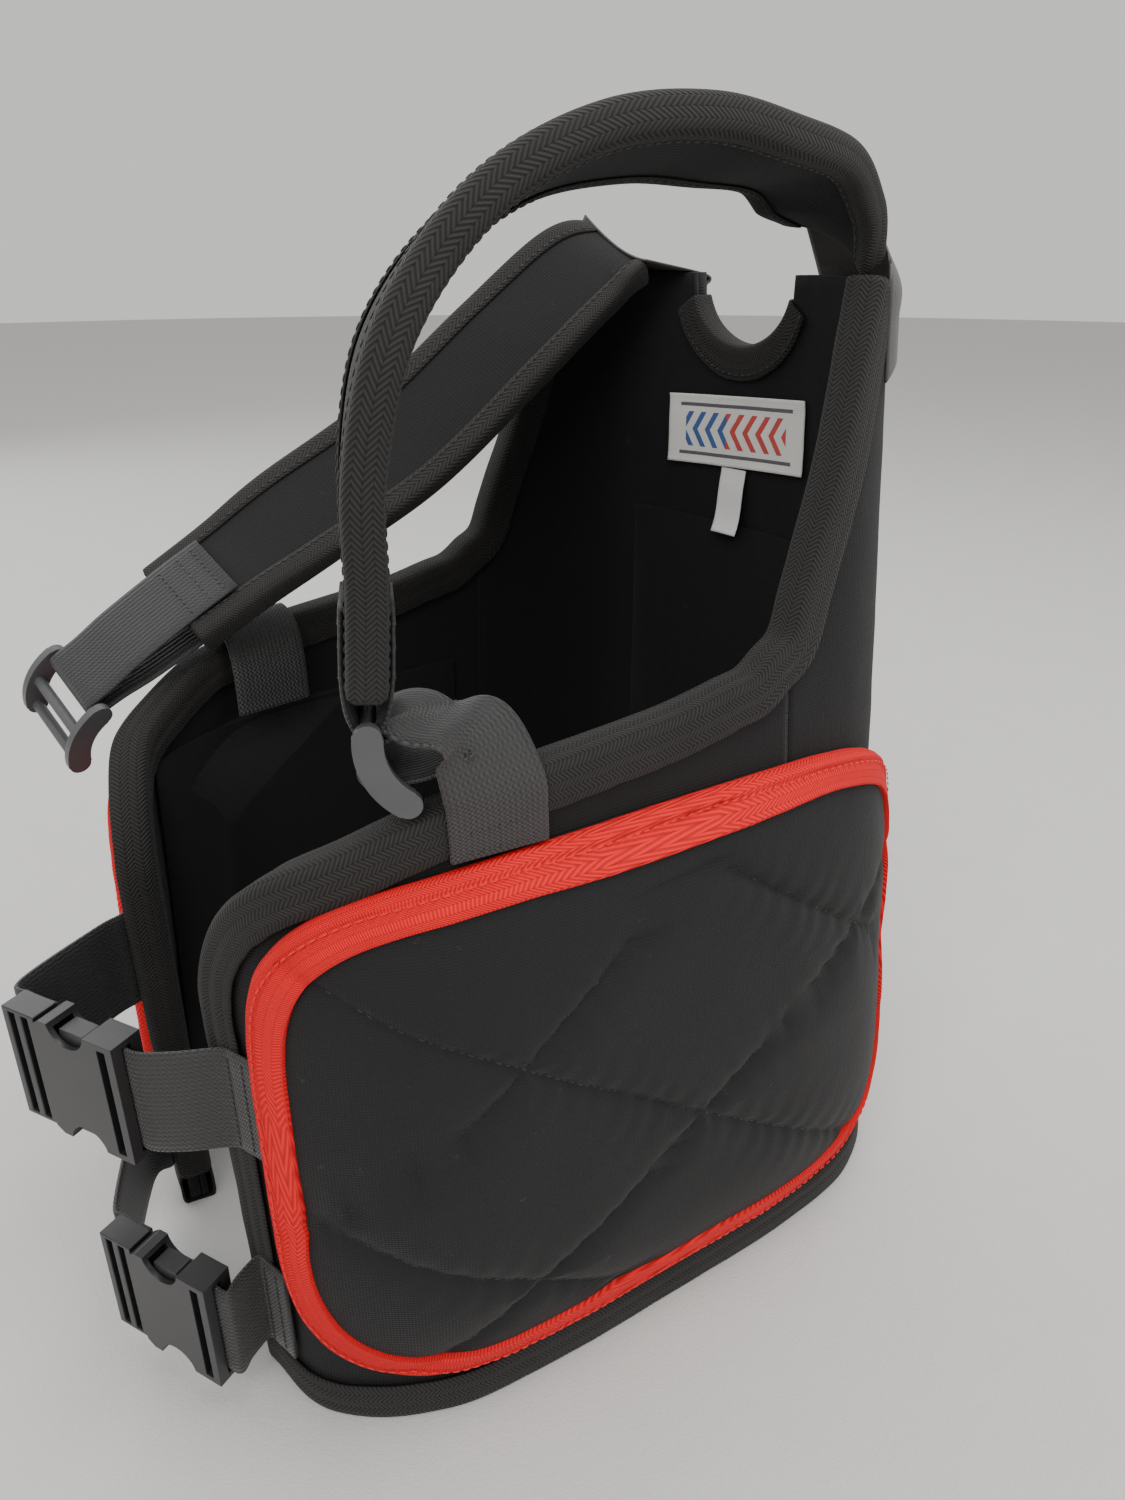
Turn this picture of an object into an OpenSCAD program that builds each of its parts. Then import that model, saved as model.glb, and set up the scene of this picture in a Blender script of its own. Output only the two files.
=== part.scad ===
// Foam rib and chest vest, open at the front, closed by two side-release buckles.
// Origin: centre of the back hem on the floor. +X is the wearer's left, -Y the front.

/* [Body] */
// Half the width of the body at the hem
body_half_w = 110; // [106:1:113]
// Depth of the body at the hem, front edges to back
body_d = 262; // [256:1:266]
// Half the width of the front gap at the hem
gap_half = 40; // [38:1:42]
// Height of the side panels below the arm
side_h = 223; // [218:1:226]
// Height of the shoulder seams
shoulder_h = 341; // [338:1:343]
// Depth of the neck curve below the shoulder seams
neck_drop = 26; // [20:1:30]

/* [Foam and fabric] */
// Thickness of the outer foam laminate
shell_t = 4.6; // [4.2:0.2:4.8]
// Thickness of the inner lining laminate
lining_t = 3; // [2.6:0.2:3.2]
// Thickness of the edge tape
tape_t = 1.2; // [0.8:0.1:1.3]
// Width of the edge tape on each face
tape_w = 12; // [10:1:13]
// Rise of a rib pad at its middle
pad_rise = 14; // [11:1:15]
// Rise of a rib pad at its edge
pad_edge = 4.5; // [4:0.5:5]
// Width of the red tape around a rib pad
trim_w = 14; // [12:1:15]
// Rise of the inner pads
inner_rise = 5; // [3.5:0.5:6]
// Thickness of the stiff rib plates
plate_t = 2; // [1.5:0.1:2.2]

/* [Straps] */
// Width of a shoulder strap over its bindings
strap_w = 45; // [43:1:46]
// Thickness of a shoulder strap
strap_t = 8; // [7:0.5:8]
// Width of the binding on a strap's edges
strap_tape_w = 9; // [7:1:11]
// Width of the shoulder webbing
narrow_web = 30; // [28:1:30]
// Width of the buckle webbing
wide_web = 38; // [36:1:38]
// Thickness of all webbing
web_t = 1.5; // [1.2:0.1:1.6]

/* [Buckles] */
// Width of a buckle
buckle_w = 44; // [43:1:45]
// Thickness of a buckle
buckle_t = 11; // [10.5:0.5:12]
// Height of the upper buckle's middle
upper_z = 119; // [117:1:121]
// Height of the lower buckle's middle
lower_z = 36; // [34:1:38]

/* [Hidden] */

gap = 0.4;                        // room between two sewn layers
wall = shell_t + 0.1 + lining_t;  // whole laminate
front_y = 4 - body_d;             // the front edges; the back's outer face is at y = 4
mid_y = front_y + body_d / 2;
narrowing = 0.0007;               // share of the half width lost for each mm of height
back_lean = 0.0003;
front_lean = 0.055;

// ---- plan of the body at the hem, as shares of half width and depth, front edge to back ----
plan_shares = [[gap_half / body_half_w, 0], [0.65, 0.03], [0.85, 0.145], [0.925, 0.305],
               [0.965, 0.495], [0.995, 0.687], [0.965, 0.847], [0.8, 0.954], [0.45, 0.992], [0, 1]];
plan_n = len(plan_shares) - 1;
plan_pts = [for (p = plan_shares) [p[0] * body_half_w, front_y + p[1] * body_d]];

// Catmull-Rom curve through a list of points, u from 0 to len - 1
function bend(a, b, c, d, u) =
    0.5 * (2 * b + (c - a) * u + (2 * a - 5 * b + 4 * c - d) * u * u
           + (3 * b - a - 3 * c + d) * u * u * u);
function along(p, u) =
    let (n = len(p) - 1, i = min(n - 1, max(0, floor(u))),
         before = i > 0 ? p[i - 1] : 2 * p[0] - p[1],
         after = i < n - 1 ? p[i + 2] : 2 * p[n] - p[n - 1])
    bend(before, p[i], p[i + 1], after, u - i);
function plan(u) =
    let (i = min(plan_n - 1, max(0, floor(u))),
         before = i > 0 ? plan_pts[i - 1] : 2 * plan_pts[0] - plan_pts[1],
         after = i < plan_n - 1 ? plan_pts[i + 2]
                                : [-plan_pts[plan_n - 1][0], plan_pts[plan_n - 1][1]])
    bend(before, plan_pts[i], plan_pts[i + 1], after, u - i);

plan_steps = 6 * plan_n;
arc_table = [for (i = 0, s = 0; i <= plan_steps;
                  s = s + norm(plan((i + 1) / 6) - plan(i / 6)), i = i + 1) [s, i / 6]];
half_girth = arc_table[plan_steps][0];

// Point at distance a from the front edge, height z and rise n over the outer face
function skin(a, z, n) =
    let (u = lookup(min(a, half_girth), arc_table), p = plan(u),
         d = plan(min(plan_n, u + 0.02)) - plan(max(0, u - 0.02)), m = [d[1], -d[0]] / norm(d),
         f = max(0, 1 - a / 60))
    [p[0] * (1 - narrowing * z) + n * m[0],
     mid_y + (p[1] - mid_y) * (1 - back_lean * z) + n * m[1] - front_lean * z * f * f, z];
// The same from the middle of the back; t is positive on the wearer's left
function around(t, z, n) =
    let (p = skin(half_girth - abs(t), z, n)) [t < 0 ? -p[0] : p[0], p[1], p[2]];

// ---- outlines ----
side_len = 215;                   // front edge to the side seam
corner_r = 38;                    // front top corner
top_shares = [[0, 0.84], [40, 0.895], [70, 0.945], [110, 0.98], [165, 1], [198, 1.025], [215, 1.07]];
function side_top(a) =
    side_h * lookup(a, top_shares)
    - (a < corner_r ? corner_r - sqrt(pow(corner_r, 2) - pow(corner_r - a, 2)) : 0);
seam_top = side_top(side_len);
// edge of the armhole on the back panel, as distance from the front edge and height
arm_edge = [[side_len, seam_top], [225, 262], [238, 290], [250, 322], [half_girth - 120, shoulder_h]];
function arm_t(z) =
    half_girth - (z < seam_top ? side_len : lookup(z, [for (p = arm_edge) [p[1], p[0]]]));
neck_t = 34;                      // half the neck opening, measured round the back
shoulder_t = 120;                 // where the armhole meets the shoulder seam
function back_top(t) =
    abs(t) < neck_t ? shoulder_h - neck_drop * sqrt(1 - pow(t / neck_t, 2)) : shoulder_h;

// ---- solids from grids and rings of points ----
function quads(q) = [for (f = q) each [[f[0], f[1], f[2]], [f[0], f[2], f[3]]]];
module sheet_between(outer, inner) {
    r = len(outer);
    c = len(outer[0]);
    m = r * c;
    polyhedron([for (row = outer) each row, for (row = inner) each row], quads(concat(
        [for (i = [0:r - 2], j = [0:c - 2])
            [i * c + j, (i + 1) * c + j, (i + 1) * c + j + 1, i * c + j + 1]],
        [for (i = [0:r - 2], j = [0:c - 2])
            [m + i * c + j, m + i * c + j + 1, m + (i + 1) * c + j + 1, m + (i + 1) * c + j]],
        [for (i = [0:r - 2]) [(i + 1) * c, i * c, m + i * c, m + (i + 1) * c]],
        [for (i = [0:r - 2])
            [i * c + c - 1, (i + 1) * c + c - 1, m + (i + 1) * c + c - 1, m + i * c + c - 1]],
        [for (j = [0:c - 2]) [j, j + 1, m + j + 1, m + j]],
        [for (j = [0:c - 2])
            [m - c + j + 1, m - c + j, 2 * m - c + j, 2 * m - c + j + 1]])), convexity = 6);
}
module sweep(rings, loop = false) {
    m = len(rings[0]);
    n = len(rings);
    polyhedron([for (r = rings) each r], concat(
        quads([for (k = [0:n - (loop ? 1 : 2)], j = [0:m - 1])
            [k * m + j, k * m + (j + 1) % m,
             ((k + 1) % n) * m + (j + 1) % m, ((k + 1) % n) * m + j]]),
        loop ? [] : [[for (j = [m - 1:-1:0]) j], [for (j = [0:m - 1]) (n - 1) * m + j]]),
        convexity = 10);
}
module right_side() mirror([1, 0, 0]) children();

// ---- side panels ----
edge_room = 0.5;                  // the laminate ends this far inside its binding
edge_shift = tape_t + edge_room;
corner_cols = [for (i = [1:6]) corner_r * (1 - cos(i * 15))];
top_cols = [44, 50, 56, 62, 68, 75, 82, 90, 100, 110, 122, 135, 150, 165, 176, 187, 198, 208];
side_cols = concat([edge_shift], [for (a = corner_cols) a + edge_shift], top_cols, [side_len - 0.2]);
module side_layer(n_out, n_in) {
    rows = 3;
    function layer(n) = [for (i = [0:rows]) [for (a = side_cols)
        skin(a, edge_shift + (side_top(a - edge_shift) - edge_room - edge_shift) * i / rows, n)]];
    sheet_between(layer(n_out), layer(n_in));
}
module side_shell() color([0.09, 0.09, 0.1]) side_layer(0, -shell_t);
module side_lining() color([0.07, 0.07, 0.07]) side_layer(-shell_t - 0.1, -wall);

// ---- rib pad: quilted cushion over a stiff plate, edged in red tape ----
pad_a = [24, 282];                // from the front edge
pad_z = [20, 196];
pad_mid = [(pad_a[0] + pad_a[1]) / 2, (pad_z[0] + pad_z[1]) / 2];
pad_spokes = 48;
pad_lift = 1.2;                   // room under the pad for the curve of the panel
plate_shares = [0.2, 0.4, 0.55, 0.7, 0.8];
// superellipse outline; s is the share of the way from the middle to the edge
function pad_at(k, s) =
    let (q = 360 * k / pad_spokes, x = cos(q), y = sin(q))
    pad_mid + s * [sign(x) * pow(abs(x), 0.42) * (pad_a[1] - pad_a[0]) / 2,
                   sign(y) * pow(abs(y), 0.42) * (pad_z[1] - pad_z[0]) / 2];
function pad_len(k) = norm(pad_at(k, 1) - pad_mid);
function pad_rise_at(s) = pad_edge + (pad_rise - pad_edge) * (1 - pow(s, 5));
module pad_solid(shares, tops, lows) {
    n = len(shares);
    function p(q, s, h) = let (o = pad_at(q, s)) skin(o[0], o[1], h);
    points = concat(
        [for (i = [0:n - 1]) each [for (k = [0:pad_spokes - 1]) p(k, shares[i], tops[i])]],
        [for (i = [0:n - 1]) each [for (k = [0:pad_spokes - 1]) p(k, shares[i], lows[i])]],
        [p(0, 0, tops[0]), p(0, 0, lows[0])]);
    m = n * pad_spokes;
    function ring(i, k, low) = (low ? m : 0) + i * pad_spokes + k % pad_spokes;
    polyhedron(points, concat(
        quads([for (i = [0:n - 2], k = [0:pad_spokes - 1])
            [ring(i, k, false), ring(i, k + 1, false), ring(i + 1, k + 1, false), ring(i + 1, k, false)]]),
        quads([for (i = [0:n - 2], k = [0:pad_spokes - 1])
            [ring(i + 1, k + 1, true), ring(i, k + 1, true), ring(i, k, true), ring(i + 1, k, true)]]),
        quads([for (k = [0:pad_spokes - 1])
            [ring(n - 1, k, false), ring(n - 1, k + 1, false),
             ring(n - 1, k + 1, true), ring(n - 1, k, true)]]),
        [for (k = [0:pad_spokes - 1]) [ring(0, k + 1, false), ring(0, k, false), 2 * m]],
        [for (k = [0:pad_spokes - 1]) [ring(0, k, true), ring(0, k + 1, true), 2 * m + 1]]),
        convexity = 6);
}
module rib_pad() color([0.1, 0.1, 0.11]) {
    shares = concat(plate_shares, [0.87, 0.92, 0.96, 0.995]);
    pad_solid(shares, [for (s = shares) pad_rise_at(s)],
              [for (s = shares) s < 0.9 ? pad_lift + plate_t + 0.4 : pad_lift]);
}
module rib_plate() color([0.75, 0.76, 0.72]) {
    pad_solid(plate_shares, [for (s = plate_shares) pad_lift + plate_t], [for (s = plate_shares) pad_lift]);
}
module rib_tape() {
    function at(k, e, n) = let (o = pad_at(k, 1 - e / pad_len(k))) skin(o[0], o[1], n);
    function top(k, e) = pad_rise_at(1 - e / pad_len(k)) + 2 * gap;
    side = pad_edge + gap;
    color([0.8, 0.05, 0.05]) sweep([for (k = [0:pad_spokes - 1])
        [at(k, -tape_t - gap, pad_lift), at(k, -tape_t - gap, side), at(k, 0, side + tape_t),
         at(k, trim_w / 2, top(k, trim_w / 2) + tape_t), at(k, trim_w, top(k, trim_w) + tape_t),
         at(k, trim_w, top(k, trim_w)), at(k, trim_w / 2, top(k, trim_w / 2)),
         at(k, 0.6, side + 2 * gap), at(k, -gap, side), at(k, -gap, pad_lift)]], loop = true);
}

// ---- inner pads, raised towards the wearer ----
module raised_pad(a0, a1, z0, z1, inset) {
    function layer(n, e) = [for (i = [0:4]) [for (j = [0:12])
        around(a0 - e + (a1 - a0 + 2 * e) * j / 12, z0 + e + (z1 - z0 - 2 * e) * i / 4, n)]];
    sheet_between(layer(-wall - gap, 0), layer(-wall - gap - inner_rise, inset));
}
module inner_pad() color([0.06, 0.06, 0.06]) raised_pad(half_girth - 34, half_girth - 198, 26, 184, 8);
module back_pad() color([0.06, 0.06, 0.06]) raised_pad(68, -68, 30, 248, 8);

// ---- back panel ----
back_cols = [for (j = [0:40]) 1 - j / 20];
module back_layer(n_out, n_in) {
    rows = 10;
    z0 = tape_t + edge_room;
    function point(u, v, n) =
        let (z = z0 + (back_top(u * shoulder_t) - edge_room - z0) * v)
        around(u * (arm_t(z) - (z > seam_top ? 2 * edge_room : 0.2)), z, n);
    function layer(n) = [for (i = [0:rows]) [for (u = back_cols) point(u, i / rows, n)]];
    sheet_between(layer(n_out), layer(n_in));
}
module back_shell() color([0.09, 0.09, 0.1]) back_layer(0, -shell_t);
module back_lining() color([0.07, 0.07, 0.07]) back_layer(-shell_t - 0.1, -wall);

// ---- bindings: folded tape over the laminate's edges ----
// p is the edge as [distance from the front edge, height], with the laminate on its right
function tape_ring(p, d, w) =
    let (e = [d[1], -d[0]] / norm(d), o = gap, i = -wall - gap,
         sec = [[w, o + tape_t], [w, o], [0, o], [0, i], [w, i], [w, i - tape_t],
                [-tape_t, i - tape_t], [-tape_t, o + tape_t]])
    [for (s = sec) [p[0] + e[0] * s[0], p[1] + e[1] * s[0], s[1]]];
function tape_rings(path, w) =
    [for (k = [0:len(path) - 1])
        tape_ring(path[k], path[min(k + 1, len(path) - 1)] - path[max(k - 1, 0)], w)];
front_path = concat(
    [for (i = [0:5]) [tape_t, tape_t + tape_w + 2 + (side_h * 0.84 - corner_r - tape_w - 4) * i / 5]],
    [for (a = corner_cols) [a + tape_t * (1 - a / corner_r), side_top(a)]],
    [for (a = top_cols) [a, side_top(a)]],
    [for (i = [0:8]) along(arm_edge, i / 2)]);
module arm_binding() color([0.12, 0.11, 0.1])
    sweep([for (r = tape_rings(front_path, tape_w)) [for (q = r) skin(max(q[0], 0), q[1], q[2])]]);
hem_ends = 1.2;
module hem_binding() color([0.12, 0.11, 0.1])
    sweep([for (k = [0:88])
        let (t = (half_girth - hem_ends) * (1 - k / 44), o = gap + tape_t, i = -wall - gap - tape_t)
        [around(t, tape_w, o), around(t, tape_w, gap), around(t, tape_t, gap),
         around(t, tape_t, -wall - gap), around(t, tape_w, -wall - gap), around(t, tape_w, i),
         around(t, 0, i), around(t, 0, o)]]);
module neck_binding() color([0.12, 0.11, 0.1]) {
    last = neck_t - 2;
    path = [for (k = [0:20]) let (q = 180 * k / 20, t = last * cos(q))
        [-t, back_top(t)]];
    sweep([for (r = tape_rings([for (p = path) p], tape_w)) [for (q = r) around(-q[0], q[1], q[2])]]);
}

// ---- shoulder straps: routes as [centre, direction across] ----
seam_gap = 1.6;                   // room for the strap to turn at its seam
seam_bow = 8;                     // how far the seam bows out behind a straight line
function seam_mid(side) =
    let (a = around(side * (shoulder_t - 4), shoulder_h, -wall / 2),
         b = around(side * (neck_t + 2), shoulder_h, -wall / 2))
    [(a + b) / 2 + [0, 0, seam_gap], side * (a - b)];
left_route = concat([seam_mid(1) + [[1, -5, 7.5], [0, 0, 0]]], [
    [[54.5, -43, 360.5], [0.99, -0.07, 0.06]], [[57, -57, 370], [0.99, 0.01, 0.07]],
    [[61.5, -84, 373], [0.98, 0.05, 0.15]], [[61, -113, 375], [0.97, 0, 0.24]],
    [[61, -148, 370], [0.96, -0.05, 0.28]], [[61, -178, 355], [0.94, -0.2, 0.28]],
    [[61, -200, 331], [0.92, -0.35, 0.15]], [[61, -209, 302], [0.9, -0.43, 0.03]],
    [[61, -210, 274], [0.89, -0.46, 0]], [[61, -212, 247], [0.88, -0.47, 0]]]);
right_route = concat([seam_mid(-1) + [[-1, -5, 6], [0, 0, 0]]], [
    [[-57, -50, 340], [0.84, 0.36, -0.4]],
    [[-62, -82, 315], [0.76, 0.24, -0.6]], [[-66, -126, 282], [0.76, 0.27, -0.6]],
    [[-72, -169, 258.5], [0.82, 0.19, -0.54]], [[-75, -192, 245], [0.88, 0.06, -0.45]],
    [[-78, -216, 231], [0.9, 0.02, -0.42]]]);
function unit(v) = v / norm(v);
// [centre, across, outward, forward] at u along a route
function station(route, u) =
    let (c = [for (r = route) r[0]], w = [for (r = route) unit(r[1])],
         t = unit(along(c, min(u + 0.05, len(c) - 1)) - along(c, max(u - 0.05, 0))),
         a = along(w, u), x = unit(a - (a * t) * t))
    [along(c, u), x, cross(t, x), t];
// bow curves a strap near its seam to follow the back panel
function ribbon(route, u0, u1, n, sec, bow = 0) =
    [for (k = [0:n]) let (u = u0 + (u1 - u0) * k / n, s = station(route, u),
                          b = bow * max(0, 1 - u / 2) * (cross([0, 0, 1], unit(route[0][1])) * s[2]) * s[2])
        [for (q = sec) s[0] + q[0] * s[1] + q[1] * s[2] + (1 - pow(2 * q[0] / strap_w, 2)) * b]];
strap_end = [len(left_route) - 1, len(right_route) - 1];
function u_section(side) =
    let (e = side * (strap_w / 2 - tape_t), i = e - side * (strap_tape_w - tape_t), h = strap_t / 2 + 0.2,
         s = [[i, h + tape_t], [i, h], [e, h], [e, -h], [i, -h], [i, -h - tape_t],
              [e + side * tape_t, -h - tape_t], [e + side * tape_t, h + tape_t]])
    side > 0 ? s : [for (k = [7:-1:0]) s[k]];
module strap_pad(route, n) color([0.09, 0.09, 0.1]) {
    w = strap_w / 2 - tape_t - edge_room;
    h = strap_t / 2;
    sweep(ribbon(route, 0, len(route) - 1, n,
                 [[-w, -h], [-w, h], [-w * 0.4, h], [w * 0.4, h], [w, h], [w, -h], [w * 0.4, -h],
                  [-w * 0.4, -h]], seam_bow));
}
module strap_binding(route, n, side) color([0.12, 0.11, 0.1])
    sweep(ribbon(route, 0.12, len(route) - 1, n, u_section(side), seam_bow));

// smooth patch over each shoulder seam, sewn to the back panel below the seam
module shoulder_patch() {
    function layer(n) = [for (i = [0:3]) [for (j = [0:7])
        let (z = shoulder_h - 34 + (34 - 1.5) * i / 3, t0 = arm_t(z) - tape_w - 3, t1 = 84)
        around(t0 + (t1 - t0) * j / 7, z, n)]];
    color([0.24, 0.22, 0.2]) sheet_between(layer(gap + 0.9), layer(gap));
}

// ---- adjusters: a ladder lock on a webbing loop at each strap's end ----
function loop_frame(route, reach, down) =
    let (s = station(route, len(route) - 1), d = unit(down - (down * s[1]) * s[1]))
    [s[0] + reach * s[3], s[1], cross(d, s[1]), d];
module place(f) multmatrix([[f[1][0], f[2][0], f[3][0], f[0][0]], [f[1][1], f[2][1], f[3][1], f[0][1]],
                            [f[1][2], f[2][2], f[3][2], f[0][2]], [0, 0, 0, 1]]) children();
bar_r = 2;
bar_fit = 0.05;
bar_reach = [10, 42];              // pad end to the bar, left and right
lap = 22;                         // length sewn on each face of the pad
// drawn with x outward and y along the strap, then laid across the strap's width
module laid_across(w) rotate([90, 0, 90]) translate([0, 0, -w / 2]) linear_extrude(w) children();
module strap_webbing(route, out) color([0.2, 0.2, 0.21])
    place(loop_frame(route, out, station(route, len(route) - 1)[3])) {
    r = bar_r + bar_fit;
    h = strap_t / 2 + tape_t + 1;
    laid_across(narrow_web) {
        difference() {
            circle(r = r + web_t, $fn = 48);
            circle(r = r, $fn = 48);
            translate([-r - web_t, -2 * r - web_t]) square([2 * (r + web_t), 2 * r + web_t]);
        }
        for (s = [-1, 1])
            scale([s, 1]) polygon([[r, 0], [r + web_t, 0], [r + web_t, -3], [h + web_t, 2 - out],
                                   [h + web_t, -out - lap], [h, -out - lap], [h, 1.6 - out], [r, -3]]);
    }
}
lock_w = 38;
lock_arc = 20;                    // radius of the curve that the three bars lie on
lock_q = 32;                      // angle between bars
function lock_bar(k) = [lock_arc * (cos(lock_q * (k - 1)) - cos(lock_q)),
                        lock_arc * (sin(lock_q * (k - 1)) + sin(lock_q))];
module ladder_lock() color([0.3, 0.3, 0.31]) {
    cheek = 3;
    mid = [-lock_arc * cos(lock_q), lock_arc * sin(lock_q)];
    for (s = [-1, 1])
        translate([s * (lock_w - cheek) / 2, 0, 0]) laid_across(cheek) {
            intersection() {
                translate(mid) difference() {
                    circle(r = lock_arc + 4, $fn = 96);
                    circle(r = lock_arc - 4, $fn = 96);
                }
                translate(mid) polygon([[0, 0], [40, -40 * tan(lock_q)], [40, 40 * tan(lock_q)]]);
            }
            for (k = [0, 2]) translate(lock_bar(k)) circle(r = 3.7, $fn = 48);
        }
    for (k = [0:2])
        translate([0, lock_bar(k)[0], lock_bar(k)[1]]) rotate([0, 90, 0])
            cylinder(r = bar_r, h = lock_w - cheek, center = true, $fn = 48);
}
left_lock = loop_frame(left_route, bar_reach[0], [0.15, 0.4, -0.89]);
right_lock = loop_frame(right_route, bar_reach[1], [0, -0.35, -0.94]);

// ---- tab webbing, sewn on the outside of each side panel ----
tab_a = 98;                       // middle of the tab, from the front edge
function web_section(w) = [[-w / 2, -web_t / 2], [-w / 2, web_t / 2],
                           [w / 2, web_t / 2], [w / 2, -web_t / 2]];
tab_n = gap + tape_t + 0.5 + web_t / 2;
function tab_base(z) = skin(tab_a, z, tab_n);
tab_across = unit(skin(tab_a + 10, 190, 0) - skin(tab_a - 10, 190, 0));
function in_lock(f, y, z) = f[0] + y * f[2] + z * f[3];
// up the panel, over in an arch, through the lock round its middle bar and out again
function through_lock(f, b) = let (w = -f[1]) [
    [tab_base(200), tab_across], [tab_base(208), tab_across],
    [tab_base(219) + [0, -1, 0], tab_across], [[80, -195, 233], [0.35, 0.9, 0]],
    [[73, -201, 234], [-0.2, 0.9, 0]], [in_lock(f, -9, 4.5), w], [in_lock(f, b[0] - 4, b[1] - 6.2), w],
    [in_lock(f, b[0] + 2, b[1] - 5), w], [in_lock(f, b[0] + 4.6, b[1]), w],
    [in_lock(f, b[0] + 2, b[1] + 5), w], [in_lock(f, b[0] - 4, b[1] + 6), w],
    [in_lock(f, b[0] - 12, b[1] + 8), w],
    [in_lock(f, b[0] - 24, b[1] + 8), w]];
left_tab_route = through_lock(left_lock, lock_bar(1));
module tab_webbing_left() color([0.24, 0.24, 0.25])
    sweep(ribbon(left_tab_route, 0, len(left_tab_route) - 1, 48, web_section(narrow_web)));
// the loose one lies over the panel's top edge and hangs inside
function over_edge(a, i) = [
    [tab_base(200), a], [tab_base(208), a], [skin(tab_a, side_top(tab_a) + 2, tab_n), a],
    [skin(tab_a, side_top(tab_a) + 8, -wall / 2), a], [skin(tab_a, side_top(tab_a) + 2, i - 1), a],
    [skin(tab_a, 207, i - 5), a], [skin(tab_a, 190, i - 7), a]];
right_tab_route = over_edge(tab_across, -wall - gap - tape_t - 2.5);
module tab_webbing_right() color([0.24, 0.24, 0.25]) right_side()
    sweep(ribbon(right_tab_route, 0, len(right_tab_route) - 1, 24, web_section(narrow_web)));

// ---- side-release buckles: x from the female's webbing end to the male's, z across ----
upper_at = [28, front_y - 24, upper_z];
lower_at = [50, front_y - 17, lower_z];
upper_turn = 206;                 // direction from female to male
lower_turn = 204;
female_len = 33;
mouth_gap = 0.4;
male_len = 14;
cavity = [buckle_w / 2 - 2, 3.6]; // half the room inside, across and through
arm_fit = 0.25;
window_x = 19;
window_r = 7.5;
arm_pivot = [female_len - 2.5, 0, 12.5];
root_r = 1.8;
root_fit = 0.05;
slot_h = 3.4;
module at_buckle(upper)
    translate(upper ? upper_at : lower_at) rotate([0, 0, upper ? upper_turn : lower_turn]) children();
module block(x0, x1, hy, hz) translate([x0, -hy, -hz]) cube([x1 - x0, 2 * hy, 2 * hz]);
module buckle_female() color([0.16, 0.16, 0.17]) difference() {
    intersection() {
        block(0, female_len, buckle_t / 2, buckle_w / 2);
        rotate([90, 0, 0]) translate([0, 0, -buckle_t]) linear_extrude(2 * buckle_t) union() {
            translate([female_len / 2, 0]) circle(r = female_len * 0.78, $fn = 96);
            translate([0, -buckle_w / 2]) square([female_len * 0.42, buckle_w]);
        }
    }
    block(9, female_len + 1, cavity[1], cavity[0]);
    for (s = [-1, 1]) translate([window_x, 0, s * (buckle_w / 2 + 1)]) rotate([90, 0, 0])
        cylinder(r = window_r, h = buckle_t + 2, center = true, $fn = 64);
    translate([3, -slot_h / 2 - 1.6, -wide_web / 2 - 0.8]) cube([3.2, buckle_t, wide_web + 1.6]);
    translate([-1, -slot_h / 2, -wide_web / 2 - 0.8]) cube([5, slot_h, wide_web + 1.6]);
}
module buckle_male() color([0.16, 0.16, 0.17]) {
    x0 = female_len + mouth_gap;
    difference() {
        union() {
            block(x0, x0 + male_len, buckle_t / 2 - 1, buckle_w / 2 - 1);
            block(12, x0 + 1, 2.6, 5);
            block(x0 - 6, x0 + 1, cavity[1] - arm_fit, 17);
        }
        for (s = [-1, 1]) translate([arm_pivot[0], 0, s * arm_pivot[2]]) {
            rotate([90, 0, 0]) cylinder(r = root_r + root_fit, h = 12, center = true, $fn = 48);
            translate([-10, -6, -1.6]) cube([10, 12, 3.2]);
        }
        for (x = [3, 8.6])
            translate([x0 + x, -buckle_t, -wide_web / 2 - 0.6]) cube([2.8, 2 * buckle_t, wide_web + 1.2]);
    }
}
module squeeze_arm(s) color([0.18, 0.18, 0.19]) {
    h = 2 * (cavity[1] - arm_fit);
    tip = cavity[0] - arm_fit;
    translate([arm_pivot[0], 0, s * arm_pivot[2]]) rotate([90, 0, 0])
        cylinder(r = root_r, h = h, center = true, $fn = 48);
    rotate([90, 0, 0]) translate([0, 0, -h / 2]) linear_extrude(h) scale([1, s]) difference() {
        polygon([[arm_pivot[0], arm_pivot[2] - 1.1], [arm_pivot[0], arm_pivot[2] + 1.1],
                 [26.5, arm_pivot[2] + 1.1], [24.5, 15.2], [24, tip], [14.5, tip],
                 [11.5, tip - 3.5], [11.5, 14.5], [14, 12], [22, 12]]);
        translate([arm_pivot[0], arm_pivot[2]]) circle(r = root_r - 0.4, $fn = 48);
    }
}

// buckle webbing: wraps the panel's front edge and is sewn outside, under the red tape
// each route runs level at the buckle's height
function flat_route(points) = [for (p = points) [p, [0, 0, 1]]];
function buckle_point(upper, x, y) =
    let (q = upper ? upper_turn : lower_turn, o = upper ? upper_at : lower_at)
    o + [x * cos(q) - y * sin(q), x * sin(q) + y * cos(q), 0];
function panel_point(upper, a, side, lift = 0) =
    let (p = skin(a, upper ? upper_z : lower_z, gap + tape_t + 0.5 + web_t / 2 + lift))
    [side * p[0], p[1], p[2]];
module female_webbing(upper) color([0.24, 0.24, 0.25])
    sweep(ribbon(flat_route([
        panel_point(upper, 21, 1), panel_point(upper, 14, 1), panel_point(upper, 8, 1, 1),
        (panel_point(upper, 4, 1, 4) + buckle_point(upper, -7, 0)) / 2, buckle_point(upper, -4, 0),
        buckle_point(upper, 2.6, 0)]), 0, 5, 20, web_section(wide_web)));
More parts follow.
